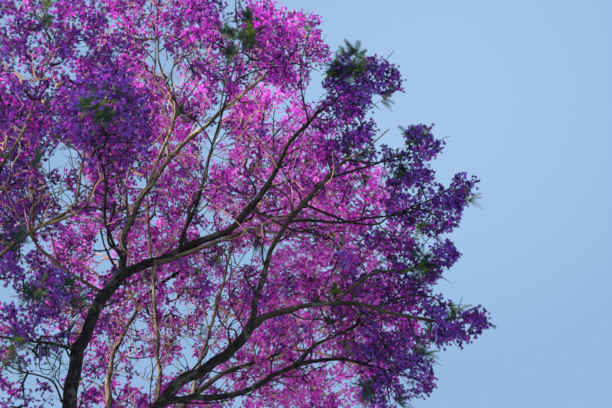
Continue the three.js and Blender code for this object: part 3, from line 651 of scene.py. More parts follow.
def limbSkin(points, radii, seed, sides):
    # Rings round a limb's middle line, with knobs, fissures and kinks, closed at its end by a dome, and the
    # painted sunlight round each ring
    rng = np.random.default_rng(seed)
    length = runAlong(points)
    bends = np.cumsum(rng.uniform(*bark["kinkStep"], int(length[-1] / bark["kinkStep"][0]) + 3)) - 0.1
    kinks = np.stack([np.interp(length, bends, rng.uniform(-1, 1, len(bends))) for _ in range(3)], -1)
    atFoot, atEnd = bark["settle"]
    settle = np.clip(length / atFoot, 0, 1) * np.clip((length[-1] - length) / atEnd, 0, 1)
    points = points + kinks * (bark["kink"] * radii + bark["leastKink"])[:, None] * settle[:, None]
    dome, closing = np.array(bark["dome"]).T
    end = unit(points[-1] - points[-2])
    points = np.vstack([points, points[-1] + end * (dome * radii[-1])[:, None]])
    radii = np.concatenate([radii, radii[-1] * closing])
    length = np.concatenate([length, length[-1] + dome * radii[-4]])
    side, across = framesAlong(points)
    turn = np.arange(sides) * 2 * math.pi / sides
    turns, longs = np.meshgrid(turn, length)
    skin = 1 + bark["knobs"] * rippled(waves(rng, *bark["knobWaves"]), turns, longs)
    folds = max(4, int(2 * math.pi * radii.max() / bark["foldWidth"]))
    fissures = waves(rng, bark["foldCount"], (folds // 2, folds), bark["foldPace"])
    skin += bark["fissures"] * rippled(fissures, turns, longs)
    rings = radii[:, None] * skin
    positions = (points[:, None] + side[:, None] * (rings * np.cos(turns))[..., None]
                 + across[:, None] * (rings * np.sin(turns))[..., None])
    mean = max(radii[0], 0.02)
    grain = np.stack([np.cos(turns) * mean, np.sin(turns) * mean, longs + seed * 3.7], -1)
    # painted sunlight: bark is painted paler on its sunward side and darker on the far side
    pale = unit(bark["paintedSunSide"])
    sunward = (side @ pale)[:, None] * np.cos(turns) + (across @ pale)[:, None] * np.sin(turns)
    level, swing, least = bark["sunSide"]
    lit = np.clip(level + swing * sunward, least, 1).ravel()
    return positions.reshape(-1, 3), gridFaces(len(points), sides), grain.reshape(-1, 3), lit


def gridFaces(rings, sides):
    ring, step = np.meshgrid(np.arange(rings - 1), np.arange(sides), indexing="ij")
    a = ring * sides + step
    b = ring * sides + (step + 1) % sides
    return np.stack([a, b, b + sides, a + sides], -1).reshape(-1, 4)


def stack(parts):
    # parts: (points, faces, ...) of several pieces of one mesh
    faces, start = [], 0
    for part in parts:
        faces.append(part[1] + start)
        start += len(part[0])
    return np.vstack([p[0] for p in parts]), np.vstack(faces)


def trunkSkin():
    rng = np.random.default_rng(seeds["trunk"])
    top = trunk["fork"][2]
    past, closing = np.array(trunk["closing"]).T
    heights = np.concatenate([np.arange(0, top, bark["trunkStep"]), top + past[1:]])
    axis = trunkAxis(np.minimum(heights, top))
    axis[:, 2] = heights
    turn = np.arange(bark["trunkSides"]) * 2 * math.pi / bark["trunkSides"]
    turns, longs = np.meshgrid(turn, heights)
    share = np.minimum(longs / top, 1)
    radius = lerp(trunk["girth"][0], trunk["girth"][1], share) / 2 * (
        1 + trunk["flare"] * np.exp(-longs / trunk["flareHeight"]))
    fading = np.exp(-longs / (2 * trunk["flareHeight"]))
    radius *= 1 + trunk["ridgeShare"] * np.cos(trunk["ridges"] * turns) * fading
    radius *= np.interp(heights, top + past, closing)[:, None]
    for ripples in trunk["waves"]:
        radius *= 1 + trunk["ripple"] * rippled(waves(rng, *ripples), turns, longs)
    positions = axis[:, None] + np.stack([radius * np.cos(turns), radius * np.sin(turns), longs * 0], -1)
    grain = np.stack([np.cos(turns) * trunk["grain"], np.sin(turns) * trunk["grain"], longs], -1)
    return positions.reshape(-1, 3), gridFaces(len(heights), bark["trunkSides"]), grain.reshape(-1, 3)


stemRule = {"elbow": 0.12, "beyond": 0.35, "taper": ([0, 0.12, 0.34, 0.56, 1], [1, 0.95, 0.8, 0.62, 0.3])}


def stemCurve(name):
    # A mass's stem: it runs on from its bough's tip through the middle of the space
    limb = placed[name]
    run = limb["curve"]([0.97, 1.0])
    tip, onward = run[1], unit(run[1] - run[0])
    middle, reach = np.array(limb["middle"]), limb["reach"]
    elbow = tip + onward * stemRule["elbow"] * reach
    far = middle + unit(middle - tip) * stemRule["beyond"] * reach
    return np.vstack([elbow, splineThrough([elbow, middle, far])(np.linspace(0.1, 1, 10))])


def limbPath(name, limb):
    # Even steps along the limb, and on along the stem of its mass
    girth = np.array(limb["girth"]) / 2
    shares = np.linspace(0, 1, bark["pathSteps"])
    fine = limb["curve"](shares)
    stem = stemCurve(name) if "reach" in limb else np.zeros((0, 3))
    run = runAlong(fine)
    radii = bark["slim"] * lerp(girth[0], girth[1], shares)
    radii = radii * (1 + limbRule["collar"] * np.exp(-lengths(fine - fine[0]) / (2 * girth[0])))
    if len(stem):
        step = lengths(np.diff(np.vstack([fine[-1], stem]), axis=0))
        share = np.cumsum(step) / step.sum()
        radii = np.concatenate([radii, radii[-1] * np.interp(share, *stemRule["taper"])])
        run = np.concatenate([run, run[-1] + np.cumsum(step)])
        fine = np.vstack([fine, stem])
    swell = np.zeros(len(fine))
    for other in {**placed, **sideLimbs}.values():
        if (other.get("on") or other.get("from")) == name:
            fork = other["curve"](0)[0]
            away = lengths(fine - fork) / (1.3 * other["girth"][0] + 0.02)
            swell = np.maximum(swell, bark["forkSwell"] * np.exp(-away**2))
    rng = np.random.default_rng(len(fine) + int(1000 * girth[0]) + len(name))
    knots = bark["knot"]
    for knot in np.arange(rng.uniform(0, knots["every"]), run[-1], knots["every"]):
        away = run - knot - rng.uniform(-knots["shift"], knots["shift"])
        wide = girth[0] + knots["long"] * rng.uniform(*knots["wide"])
        strength = knots["swell"] * rng.uniform(*knots["strong"])**2
        swell = np.maximum(swell, strength * np.exp(-(away / wide)**2))
    radii = radii * (1 + swell)
    steps = max(6, int(run[-1] / bark["ringStep"]))
    even = np.linspace(0, run[-1], steps)
    return placeAlong(fine, run, even), np.interp(even, run, radii)


# Limbs at the back of the crown, and side limbs and shoots on them, get fully painted sunlit bark
sunlitLimbs = {name for name in placed if name != "stem_back" and ("back" in name or "behind" in name)}
for name, limb in {**sideLimbs, **shoots}.items():
    if limb["on"] in sunlitLimbs:
        sunlitLimbs.add(name)


# The painted sunlight at a limb's end
def litEnd(name):
    return 1.0 if name in sunlitLimbs else litLimbs.get(name, (0.0, 0.0))[1]


# Shoots on limbs with enough painted sunlight are painted sunlit too, more so towards their end
for name, shoot in shoots.items():
    foot = litEnd(shoot["on"])
    end = min(foot * bark["litGain"], 1.0)
    litLimbs[name] = (foot, end) if foot > bark["litFrom"] else (0.0, 0.0)
paintedShadeParts, sunlitParts = [(*trunkSkin(), bark["trunkLit"])], []
for seed, (name, limb) in enumerate({**placed, **sideLimbs, **shoots}.items()):
    points, radii = limbPath(name, limb)
    low, high = bark["sides"]
    sides = int(np.clip(2 * math.pi * radii.mean() / bark["sideWidth"], low, high))
    points, faces, grain, sunSide = limbSkin(points, radii, seed + seeds["skin"], sides)
    # painted sunlight from the limb's foot to its end, times its painted sunward side
    foot, end = (1.0, 1.0) if name in sunlitLimbs else litLimbs.get(name, (0.0, 0.0))
    lit = np.repeat(np.linspace(foot, end, len(points) // sides), sides) * sunSide
    (sunlitParts if name in sunlitLimbs else paintedShadeParts).append((points, faces, grain, lit))
# Two pieces: bark in painted shade, with painted sunlight where litLimbs gives it, and fully painted sunlit
# bark
for name, parts, slot in (("limbs_near", paintedShadeParts, "bark"), ("limbs_sunlit", sunlitParts, "bark_sunlit")):
    points, faces = stack(parts)
    grain = np.vstack([p[2] for p in parts])
    lit = np.concatenate([np.broadcast_to(p[3], len(p[0])) for p in parts])
    piece = makeMesh(name, points, faces, barkAll, smooth=True, extra={"grain": grain, "lit": lit})
    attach(piece, "root")
    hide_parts(*[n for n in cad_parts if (n == "trunk" or n in placed)
                         and (n in sunlitLimbs) == (name == "limbs_sunlit")])
    print(name, len(faces) * 2, "triangles")

# Growth of the masses. First the source's own twigs: round the stem by the golden turn, leaning less
# towards its end. Then finer twigs, each from the nearest wood to a place where a spray is to stand.
growth = {
    "golden": 137.5, "turnPlay": 40, "spread": (72, 38), "firstTwig": 0.12, "twigReach": 0.8,
    "leastTwig": 0.15, "twigCount": (3.2, 0.6), "tries": 14, "spacing": 0.235, "margin": 0.07, "core": 0.16,
    "detour": 0.3, "sprayLength": 0.3, "limbRoom": 0.05, "twigBend": (0.08, 0.06), "twigKink": 0.06,
    "leafRoom": 0.03, "besideLeaves": 0.5,
    "aim": {"toward": 0.9, "outward": 0.35, "lift": 0.18, "play": 0.3},
    "leaving": (0.55, 0.45), "arriving": 0.4, "curvedFrom": 0.1, "leastGap": 0.03, "lengthPlay": (0.8, 1.2),
    # where a fine twig bends, as (shorter than this, at these shares of its way)
    "bendsAt": [(0.22, (0.5,)), (0.6, (0.33, 0.67)), (math.inf, (0.22, 0.45, 0.7))],
}
# How densely each mass is filled, and the tint that most of its blossom has: 0 is the first of the tints,
# painted shade, and 1 the last, painted sunlight
massLook = {
    "bough_near": (1.2, 0.28), "bough_crest": (1.0, 0.5), "bough_top": (1.25, 0.51),
    "bough_long": (1.9, 0.22), "bough_front": (0.85, 0.5), "bough_inner": (1.05, 0.7),
    "bough_right": (1.7, 0.3), "bough_right_tip": (1.5, 0.17), "bough_right_mid": (1.45, 0.19),
    "bough_level": (2.6, 0.18), "bough_level_up": (1.5, 0.2), "bough_under": (1.25, 0.22),
    "bough_under_up": (1.2, 0.42),
    "bough_behind": (0.9, 0.72), "bough_behind_up": (1.02, 0.68), "bough_back_left": (0.7, 0.57),
    "bough_back_mid": (0.8, 0.55), "bough_back_right": (0.45, 0.5), "bough_back_far": (0.45, 0.55),
    "bough_left_in": (1.0, 0.4), "bough_left_side": (0.98, 0.36), "bough_left_front": (1.12, 0.37),
    "bough_left_low": (0.58, 0.23), "bough_far_left": (0.36, 0.42), "bough_left_near": (0.36, 0.3),
    "bough_left_back": (0.36, 0.5), "bough_left_top": (0.5, 0.3),
}
largerBlossom = {  # where it is larger than elsewhere
    "bough_far_left": 1.35, "bough_left_near": 1.35, "bough_left_back": 1.35, "bough_left_top": 1.25,
    "bough_back_far": 1.25, "bough_back_right": 1.2, "bough_right_mid": 1.12, "bough_level": 1.12,
    "bough_right_tip": 1.12, "bough_level_up": 1.12, "bough_long": 1.1,
}
# Blossom stands on the crown's upper and outer side. Below a limb and low in a mass most twigs are bare.
bareRule = {"wide": 6, "perGirth": 80, "left": 0.2, "thickLeft": 0.04, "thick": 0.1, "deep": 3.0,
            "low": (-0.75, 0.15), "least": 0.4, "small": (0.7, 1.1), "smallLeast": 0.9, "full": 0.95,
            "twigs": 0.6}
# Clusters of leaves in the photograph: (across, down, y, half width there, how many sprays)
leafClusters = [
    (98, 110, -3.3, 16, 9), (125, 95, -3.1, 7, 3), (51, 137, -2.1, 13, 6), (240, 33, -2.9, 24, 12),
    (348, 74, -1.8, 24, 13), (413, 137, -1.45, 8, 4), (398, 170, -1.35, 9, 3), (272, 100, -2.4, 7, 2),
    (76, 288, -0.9, 16, 4), (425, 225, -1.4, 9, 5), (420, 266, -0.8, 13, 9), (312, 290, 1.2, 17, 6),
    (426, 354, 0.3, 7, 3), (155, 277, 1.7, 12, 4), (370, 384, 0.2, 10, 4), (8, 240, -1.8, 14, 4),
    (82, 304, -1.0, 9, 2), (35, 296, -1.5, 15, 5), (15, 345, -1.6, 9, 2), (190, 284, 1.9, 13, 3),
    (217, 253, 2.5, 10, 3), (186, 112, -0.3, 8, 3), (452, 318, -0.75, 8, 2), (367, 182, -0.1, 9, 3),
    (340, 345, 0.8, 9, 3), (340, 290, 0.5, 9, 3), (130, 214, 1.5, 9, 3)]
# and of blossom at the edge of the masses
blossomClusters = [
    (459, 203, -1.0, 8, 4), (459, 232, -0.9, 8, 4), (453, 257, -0.6, 8, 4), (400, 84, -1.5, 6, 3),
    (362, 129, -1.4, 8, 4), (246, 255, 1.2, 10, 4), (238, 246, 1.2, 9, 3)]


def clusterGoals(k, rng, clusters):
    # The places of their sprays in one mass, and the balls that they fill
    goals, balls = [np.zeros((0, 3))], []
    for across, down, y, wide, count in clusters:
        middle = seen(across, down, y)
        size = wide * np.linalg.norm(middle - eye) / focal
        points = middle + unit(rng.normal(size=(count, 3))) * size * rng.uniform(0, 1, (count, 1))**0.4
        inside = insideSpace(k, points, growth["leafRoom"])
        goals.append(points[inside & ~beyondOutline(points, outlineInset + 1)])
        balls.append((middle, size))
    return np.vstack(goals), balls


def bloomChance(k, points):
    # The chance that a spray stands at each place, and whether its twig may grow there at all
    across, down = picturePoint(points).T
    grows = np.ones(len(points))
    for gap in skyGaps:
        grows[inPatch(across, down, gap)] = gap[4]
    grows[beyondOutline(points)] = 0
    height = (points[:, 2] - middles[k][2]) / reaches[k]
    least = np.interp(reaches[k], bareRule["small"], (bareRule["smallLeast"], bareRule["least"]))
    bloom = np.interp(height, bareRule["low"], [least, 1])
    for place in fullPlaces:
        bloom[inPatch(across, down, place)] = bareRule["full"]
    depth = (points - eye) @ ahead
    for name in traced:
        line = lines[name]
        spots, far = picturePoint(line), (line - eye) @ ahead
        away = lengths(spots[None, ::2] - np.stack([across, down], -1)[:, None])
        best = away.argmin(1)
        front = far[::2][best] - depth
        girth = (placed.get(name) or sideLimbs[name])["girth"][1]
        wide = bareRule["wide"] + bareRule["perGirth"] * girth
        hides = (away[np.arange(len(points)), best] < wide) & (front > 0) & (front < bareRule["deep"])
        left = bareRule["thickLeft"] if girth > bareRule["thick"] else bareRule["left"]
        bloom[hides] = np.minimum(bloom[hides], left)
    return grows, bloom


def sprayPlaces(k, rng):
    # Places spread evenly over the space, no two nearer than the spacing; at some the twig stays bare
    spacing = growth["spacing"] / massLook[spaces[k]][0]**(1 / 3)
    reach = reaches[k]
    tries = int(growth["tries"] * (reach / spacing)**3)
    away = unit(rng.normal(size=(tries, 3)))
    points = middles[k] + away * (reach * rng.uniform(growth["core"], 1, tries)**0.42)[:, None]
    points = points[insideSpace(k, points, growth["margin"] * min(reach, 1))]
    kept = np.zeros((0, 3))
    for point in points:
        if not len(kept) or ((kept - point)**2).sum(1).min() > spacing**2:
            kept = np.vstack([kept, point])
    wood = np.vstack([lines[name] for name in placed])
    clear = np.array([lengths(wood - p).min() > growth["limbRoom"] for p in kept])
    grows, bloom = bloomChance(k, kept)
    blooms = rng.random(len(kept)) < bloom
    clear &= (rng.random(len(kept)) < grows) & (blooms | (rng.random(len(kept)) < bareRule["twigs"]))
    leaves, balls = clusterGoals(k, rng, leafClusters)
    more, _ = clusterGoals(k, rng, blossomClusters)
    for middle, size in balls:
        clear &= (lengths(kept - middle) > size) | (rng.random(len(kept)) < growth["besideLeaves"])
    kept, blooms = np.vstack([kept[clear], more]), np.concatenate([blooms[clear], np.full(len(more), True)])
    return (np.vstack([kept, leaves]), np.concatenate([blooms, np.full(len(leaves), True)]),
            np.concatenate([np.full(len(kept), False), np.full(len(leaves), True)]))


def growMass(k):
    name = spaces[k]
    reach = reaches[k]
    rng = np.random.default_rng(seeds["mass"] + k)
    draw = lottery(seeds["massTwig"] + k)
    places, leads, costs, links = [], [], [], []

    def addWood(points, firstCost):
        # Wood that carries twigs but is drawn with the limbs
        step = lengths(np.diff(points, axis=0))
        for i, point in enumerate(points):
            places.append(point)
            leads.append(unit(points[min(i + 1, len(points) - 1)] - points[max(i - 1, 0)]))
            costs.append(firstCost + step[:i].sum())

    stem = stemCurve(name)
    addWood(stem, 0.0)
    for other in lines:
        near = lines[other][insideSpace(k, lines[other])]
        if len(near) > 2:
            addWood(near[::3] if len(near) > 8 else near, 0.1)
    fixed = len(places)
    parents = [-1] * fixed

    def addLink(parent, points):
        row = [parent]
        before = places[parent]
        for i, point in enumerate(points):
            after = points[i + 1] if i + 1 < len(points) else point
            parents.append(row[-1])
            costs.append(costs[row[-1]] + np.linalg.norm(point - before))
            leads.append(unit(after - before))
            places.append(point)
            row.append(len(places) - 1)
            before = point
        links.append(row)

    twigCount = round(growth["twigCount"][0] + reach / growth["twigCount"][1])
    stemLine = splineThrough(stem)
    for twig in range(twigCount):
        share = lerp(growth["firstTwig"], 1, twig / (twigCount - 1))
        base = stemLine(share)[0]
        trend = unit(stemLine(min(share + 0.03, 1))[0] - stemLine(max(share - 0.03, 0))[0])
        angle = math.radians(twig * growth["golden"] + growth["turnPlay"] * draw())
        lean = math.radians(lerp(*growth["spread"], share))
        side = turned(unit(np.cross((0.3, 1, 0.2), trend)), trend, angle)
        heading = trend * math.cos(lean) + side * math.sin(lean)
        steps = np.arange(1, 60) * reach / 24
        inside = insideSpace(k, base + heading * steps[:, None])
        room = steps[np.argmin(inside) - 1] * growth["twigReach"] if not inside.all() and inside[0] else 0
        if room < growth["leastTwig"]:
            continue
        bend = (rng.normal(size=3) * growth["twigBend"][0] + np.array([0, 0, growth["twigBend"][1]])) * room
        shares = np.array([0.2, 0.4, 0.6, 0.8, 1.0])[:, None]
        points = base + heading * room * shares + bend * np.sin(math.pi * shares * 0.8)
        start = int(lengths(stem - base).argmin())
        addLink(start, [places[start] + (points[0] - places[start]) * 0.5, *points])

    goals, blooms, leafGoal = sprayPlaces(k, rng)
    order = np.argsort(lengths(goals - stem[0]))
    feet, tips, isLeaf = [], [], []
    aim = growth["aim"]
    for goal, blooming, leafed in zip(goals[order], blooms[order], leafGoal[order]):
        wood = np.array(places)
        gap = lengths(wood - goal)
        best = int((gap + growth["detour"] * np.array(costs) + np.where(gap < 0.05, 1.0, 0)).argmin())
        start, lead = wood[best], leads[best]
        toward = unit(goal - start)
        outward = unit(goal - middles[k])
        axis = unit(aim["toward"] * toward + aim["outward"] * outward + np.array([0, 0, aim["lift"]])
                    + aim["play"] * rng.normal(size=3))
        length = min(growth["sprayLength"] * rng.uniform(*growth["lengthPlay"]), 0.8 * gap[best])
        foot = goal - axis * length
        span = np.linalg.norm(foot - start)
        if span > growth["curvedFrom"]:
            out = unit(growth["leaving"][0] * lead + growth["leaving"][1] * toward) * span
            home = unit(unit(foot - start) + growth["arriving"] * axis) * span
            bends = []
            for t in next(shares for most, shares in growth["bendsAt"] if span < most):
                bends.append((2 * t**3 - 3 * t**2 + 1) * start + (t**3 - 2 * t**2 + t) * out
                             + (3 * t**2 - 2 * t**3) * foot + (t**3 - t**2) * home
                             + rng.normal(size=3) * growth["twigKink"] * min(span, 0.6))
            addLink(best, [*bends, foot, goal])
        else:
            addLink(best, [foot if span > growth["leastGap"] else lerp(start, goal, 0.2), goal])
        if blooming:
            feet.append(places[-2])
            tips.append(goal)
            isLeaf.append(leafed)

    carried = np.zeros(len(places))
    for row in links:
        carried[row[-1]] += 1
    for i in range(len(places) - 1, fixed - 1, -1):
        carried[parents[i]] += carried[i]
    return {"places": np.array(places), "links": links, "carried": carried, "feet": np.array(feet),
            "tips": np.array(tips), "isLeaf": np.array(isLeaf)}


masses = {spaces[k]: growMass(k) for k in range(len(spaces))}
print("sprays placed:", sum(len(m["tips"]) for m in masses.values()))

# Sprays at the ends of some of the shoots' forks
forkSeed = np.random.default_rng(seeds["fork"])
ends = np.array([fork["path"][-1] for fork in forks])
leads = unit(ends - np.array([fork["path"][-2] for fork in forks]))
nearest = np.array([(lengths(middles - end) - reaches).argmin() for end in ends])
flowering = forkSeed.random(len(forks)) < forkRule["bloom"]
for k in np.unique(nearest):
    rows = np.flatnonzero(nearest == k)
    for reach in (0.3, 1):
        grows, bloom = bloomChance(k, ends[rows] + leads[rows] * forkRule["spray"] * reach)
        flowering[rows] &= forkSeed.random(len(rows)) < grows * np.where(bloom <= bareRule["left"], 0, 1)
forkTips = ends + leads * forkRule["spray"]

# Twigs as thin tubes, thicker the more sprays they carry
twigs = {
    "tip": 0.0046, "grow": 0.0032, "power": 0.5, "stout": 0.01, "end": 0.0016,
    # inSun, perLit, forkLit: shares of twigs that are painted sunlit
    "inSun": 0.62, "perLit": 0.6, "forkLit": 0.7,
    # near: the twigs' own dark brown, darkened to near black as painted shade; sunlit: painted sunlit tan
    "near": plain(14, 11, 13), "sunlit": plain(216, 176, 136),
}
twigPaintedShade = leafyMaterial("twigPaintedShade", twigs["near"], 0, 0.85)
twigSunlit = leafyMaterial("twigSunlit", twigs["sunlit"], 0, 0.8)


def thinTubes(paths, radii, sides):
    # paths (n, points, 3) and radii (n, points) to one mesh of n tubes
    count, rings, _ = paths.shape
    along = unit(np.gradient(paths, axis=1))
    mean = unit(paths[:, -1] - paths[:, 0])
    guide = np.eye(3)[np.abs(mean).argmin(1)][:, None]
    side = unit(guide - along * (guide * along).sum(-1, keepdims=True))
    across = np.cross(along, side)
    turn = np.arange(sides) * 2 * math.pi / sides
    points = (paths[:, :, None] + side[:, :, None] * (radii[..., None] * np.cos(turn))[..., None]
              + across[:, :, None] * (radii[..., None] * np.sin(turn))[..., None])
    faces = gridFaces(rings, sides)
    faces = np.vstack([faces[:, [0, 1, 2]], faces[:, [0, 2, 3]]])
    faces = faces[None] + (np.arange(count) * rings * sides)[:, None, None]
    return points.reshape(-1, 3), faces.reshape(-1, 3)


# twigs in painted shade and painted sunlit twigs
twigParts = {"near": [], "sunlit": []}
twigSeed = np.random.default_rng(seeds["twig"])


def twigLit(name):
    # The share of a mass's twigs that are painted sunlit
    if name in sunlitLimbs:
        return twigs["inSun"]
    return twigs["perLit"] * litEnd(name) if litEnd(name) > bark["litFrom"] else 0.0


def addTwigs(paths, radii, sides, lit):
    for kind, chosen in (("near", ~lit), ("sunlit", lit)):
        if chosen.any():
            twigParts[kind].append(thinTubes(paths[chosen], radii[chosen], sides))


for name, mass in masses.items():
    radius = twigs["tip"] + twigs["grow"] * np.maximum(mass["carried"] - 1, 0)**twigs["power"]
    groups = {}
    for row in mass["links"]:
        own = radius[row].copy()
        own[0] = own[1]
        own[-1] = twigs["end"]
        sides = 5 if own.max() > twigs["stout"] else 3
        groups.setdefault((len(row), sides), []).append((mass["places"][row], own))
    for (_, sides), rows in groups.items():
        paths, radii = np.array([r[0] for r in rows]), np.array([r[1] for r in rows])
        addTwigs(paths, radii, sides, twigSeed.random(len(rows)) < twigLit(name))
forkPaths = np.array([fork["path"] for fork in forks])
forkRadii = np.broadcast_to(np.linspace(*forkRule["girth"], forkPaths.shape[1]), forkPaths.shape[:2])
forkLit = np.array([litEnd(fork["limb"]) for fork in forks])
addTwigs(forkPaths, forkRadii, 4, twigSeed.random(len(forks)) < twigs["forkLit"] * forkLit)

# Sprays: each is a panicle of blossom or a whorl of fern leaves
panicle = {
    "branchlets": 8, "between": (0.12, 0.88), "branchLength": 0.15, "branchWidth": 0.007, "lean": 0.55,
    "droop": 0.12, "onEach": 3, "atEnd": 4, "blossom": 0.054, "ring": 0.38, "petalGap": 9, "mouth": 0.88,
    "tintPlay": 0.1, "tintDrift": 0.09, "petalPlay": 0.15, "placePlay": 0.05, "anglePlay": 0.4,
    "shorter": 0.5, "lengthPlay": (0.75, 1.2), "sizePlay": (0.78, 1.2), "flarePlay": (0.85, 1.15),
    # which way the blossoms face, along a branchlet and at the end of the panicle
    "facing": {"out": 0.7, "on": 0.35, "drop": 0.45, "play": 0.75},
    "endFacing": {"on": 0.8, "drop": 0.3, "play": 0.7},
}
leaf = {
    "share": 0.033, "perSpray": 9, "pairs": 9, "between": (0.12, 0.97), "length": 0.23, "width": 0.062,
    # lit: the shares of painted sunlit leaves that a spray may have
    "pinna": 0.013, "rib": 0.004, "droop": (0.15, 0.5), "lit": (0.06, 0.18, 0.5),
    "alongSpray": (0.3, 1.0), "forward": (0.2, 1.3), "lift": 0.25, "lengthPlay": (0.7, 1.15),
    "pinnaLean": (0.55, 0.15),
}
# Blossom tints, dealt out in this order from painted shade to painted sunlight: the flowers' own violet and
# purple, with dusk darkened as painted shade and magenta, rose and pink brightened as painted sunlight
tints = {
    "violet": plain(128, 73, 184), "dusk": plain(76, 40, 118), "purple": plain(116, 36, 134),
    "magenta": plain(192, 45, 192), "rose": plain(244, 73, 226), "pink": plain(254, 144, 244),
}

spraySeed = np.random.default_rng(seeds["spray"])
feet = np.vstack([*(m["feet"] for m in masses.values()), ends[flowering]])
tips = np.vstack([*(m["tips"] for m in masses.values()), forkTips[flowering]])
owner = [np.full(len(m["tips"]), k) for k, m in enumerate(masses.values())]
owner = np.concatenate([*owner, nearest[flowering]])
# Each spray's place on the scale from painted shade to painted sunlight, with play and a slow drift
sun = np.array([massLook[spaces[k]][1] for k in owner])
drift = np.sin(tips @ np.array([1.9, 1.3, 2.3]))
sun = sun + panicle["tintPlay"] * spraySeed.normal(size=len(sun)) + panicle["tintDrift"] * drift
leafy = spraySeed.random(len(tips)) < leaf["share"]
leafy |= np.concatenate([*(m["isLeaf"] for m in masses.values()), np.full(flowering.sum(), False)])
print("leaf sprays:", leafy.sum(), "panicles:", (~leafy).sum())


def anySide(axis, rng):
    # A seeded direction at right angles to each axis
    guide = np.eye(3)[np.abs(axis).argmin(-1)]
    side = unit(np.cross(axis, guide))
    return turned(side, axis, rng.uniform(0, 2 * math.pi, len(axis)))


# Panicle frames: branchlets round the axis, blossoms along them
axis = unit(tips - feet)[~leafy]
foot, top = feet[~leafy], tips[~leafy]
count = len(foot)
firstSide = anySide(axis, spraySeed)
facing, endFacing = panicle["facing"], panicle["endFacing"]
apexes, mouths, branchlets = [], [], []
for branch in range(panicle["branchlets"]):
    place = lerp(*panicle["between"], branch / (panicle["branchlets"] - 1))
    place = place + spraySeed.uniform(-panicle["placePlay"], panicle["placePlay"], count)
    radial = turned(firstSide, axis, np.full(count, math.radians(branch * growth["golden"]))
                    + spraySeed.uniform(-panicle["anglePlay"], panicle["anglePlay"], count))
    length = panicle["branchLength"] * (1 - panicle["shorter"] * place)
    length = length * spraySeed.uniform(*panicle["lengthPlay"], count)
    heading = unit(radial + panicle["lean"] * axis - np.array([0, 0, panicle["droop"]]))
    base = foot + (top - foot) * place[:, None]
    end = base + heading * length[:, None]
    wide = np.cross(heading, axis) * panicle["branchWidth"] / 2
    branchlets.append(np.stack([base - wide, base + wide, end], 1))
    for share in np.linspace(0.35, 1, panicle["onEach"]):
        apexes.append(base + (end - base) * share)
        loose = facing["play"] * spraySeed.normal(size=(count, 3))
        mouths.append(unit(facing["out"] * radial + facing["on"] * axis - np.array([0, 0, facing["drop"]])
                           + loose))
for _ in range(panicle["atEnd"]):
    apexes.append(foot + (top - foot) * spraySeed.uniform(0.85, 1.0, count)[:, None])
    loose = endFacing["play"] * spraySeed.normal(size=(count, 3))
    mouths.append(unit(endFacing["on"] * axis + loose - np.array([0, 0, endFacing["drop"]])))
perSpray = len(apexes)
apexes, mouths = (np.stack(v, 1).reshape(-1, 3) for v in (apexes, mouths))
# branchlets, too, take the painted shade or painted sunlit twig colour
lit = spraySeed.random(count) < np.array([twigLit(spaces[k]) for k in owner[~leafy]])
lit = np.tile(lit, panicle["branchlets"])
for kind, chosen in (("near", ~lit), ("sunlit", lit)):
    part = np.concatenate(branchlets)[chosen].reshape(-1, 3)
    twigParts[kind].append((part, np.arange(len(part)).reshape(-1, 3)))

# one piece of twigs in painted shade, one of painted sunlit twigs
for kind, material in (("near", twigPaintedShade), ("sunlit", twigSunlit)):
    points, faces = stack(twigParts[kind])
    piece = makeMesh("twigs_" + kind, points, faces, material, smooth=True)
    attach(piece, "root")
    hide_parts(*[n.replace("bough", "mass") for n in spaces])
    print(piece.name, len(faces), "triangles")


def blossoms(apex, mouth, size, rng):
    # A trumpet of five petals, narrow at the stalk, each petal one face
    count = len(apex)
    length = panicle["blossom"] * size * rng.uniform(*panicle["sizePlay"], count)
    side = anySide(mouth, rng)
    across = np.cross(mouth, side)
    step = math.radians(72)
    gap = math.radians(panicle["petalGap"])
    corners = [apex]
    for petal in range(5):
        for angle in (petal * step + gap, (petal + 1) * step - gap):
            flare = rng.uniform(*panicle["flarePlay"], count)
            ring = side * math.cos(angle) + across * math.sin(angle)
            ring = ring * (length * panicle["ring"] * flare)[:, None]
            corners.append(apex + ring + mouth * (length * panicle["mouth"])[:, None])
    faces = np.array([[0, 1 + 2 * petal, 2 + 2 * petal] for petal in range(5)])
    faces = faces[None] + (np.arange(count) * 11)[:, None, None]
    return np.stack(corners, 1).reshape(-1, 3), faces.reshape(-1, 3)


blossomSeed = np.random.default_rng(seeds["blossom"])
# Each blossom shifts a little along that scale: speckles of painted sunlight and painted shade
sunny = np.repeat(sun[~leafy], perSpray)
sunny = sunny + panicle["petalPlay"] * blossomSeed.normal(size=count * perSpray)
step = np.clip((sunny * len(tints)).astype(int), 0, len(tints) - 1)
blossomOwner = np.repeat(owner[~leafy], perSpray)
size = np.array([largerBlossom.get(name, 1.0) for name in spaces])[blossomOwner]
mostFaces = 190000
print("blossoms:", len(apexes))
for order, (tint, colour) in enumerate(tints.items()):
    material = leafyMaterial("petal_" + tint, colour, 0.3, 0.5)
    chosen = np.flatnonzero(step == order)
    parts = max(1, math.ceil(len(chosen) * 5 / mostFaces))
    for part, rows in enumerate(np.array_split(chosen, parts)):
        points, faces = blossoms(apexes[rows], mouths[rows], size[rows], blossomSeed)
        piece = makeMesh("blossom_%s_%d" % (tint, part + 1), points, faces, material)
        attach(piece, "root")
        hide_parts(*[spaces[k].replace("bough", "mass") for k in np.unique(blossomOwner[rows])])
        print(piece.name, len(faces), "triangles")


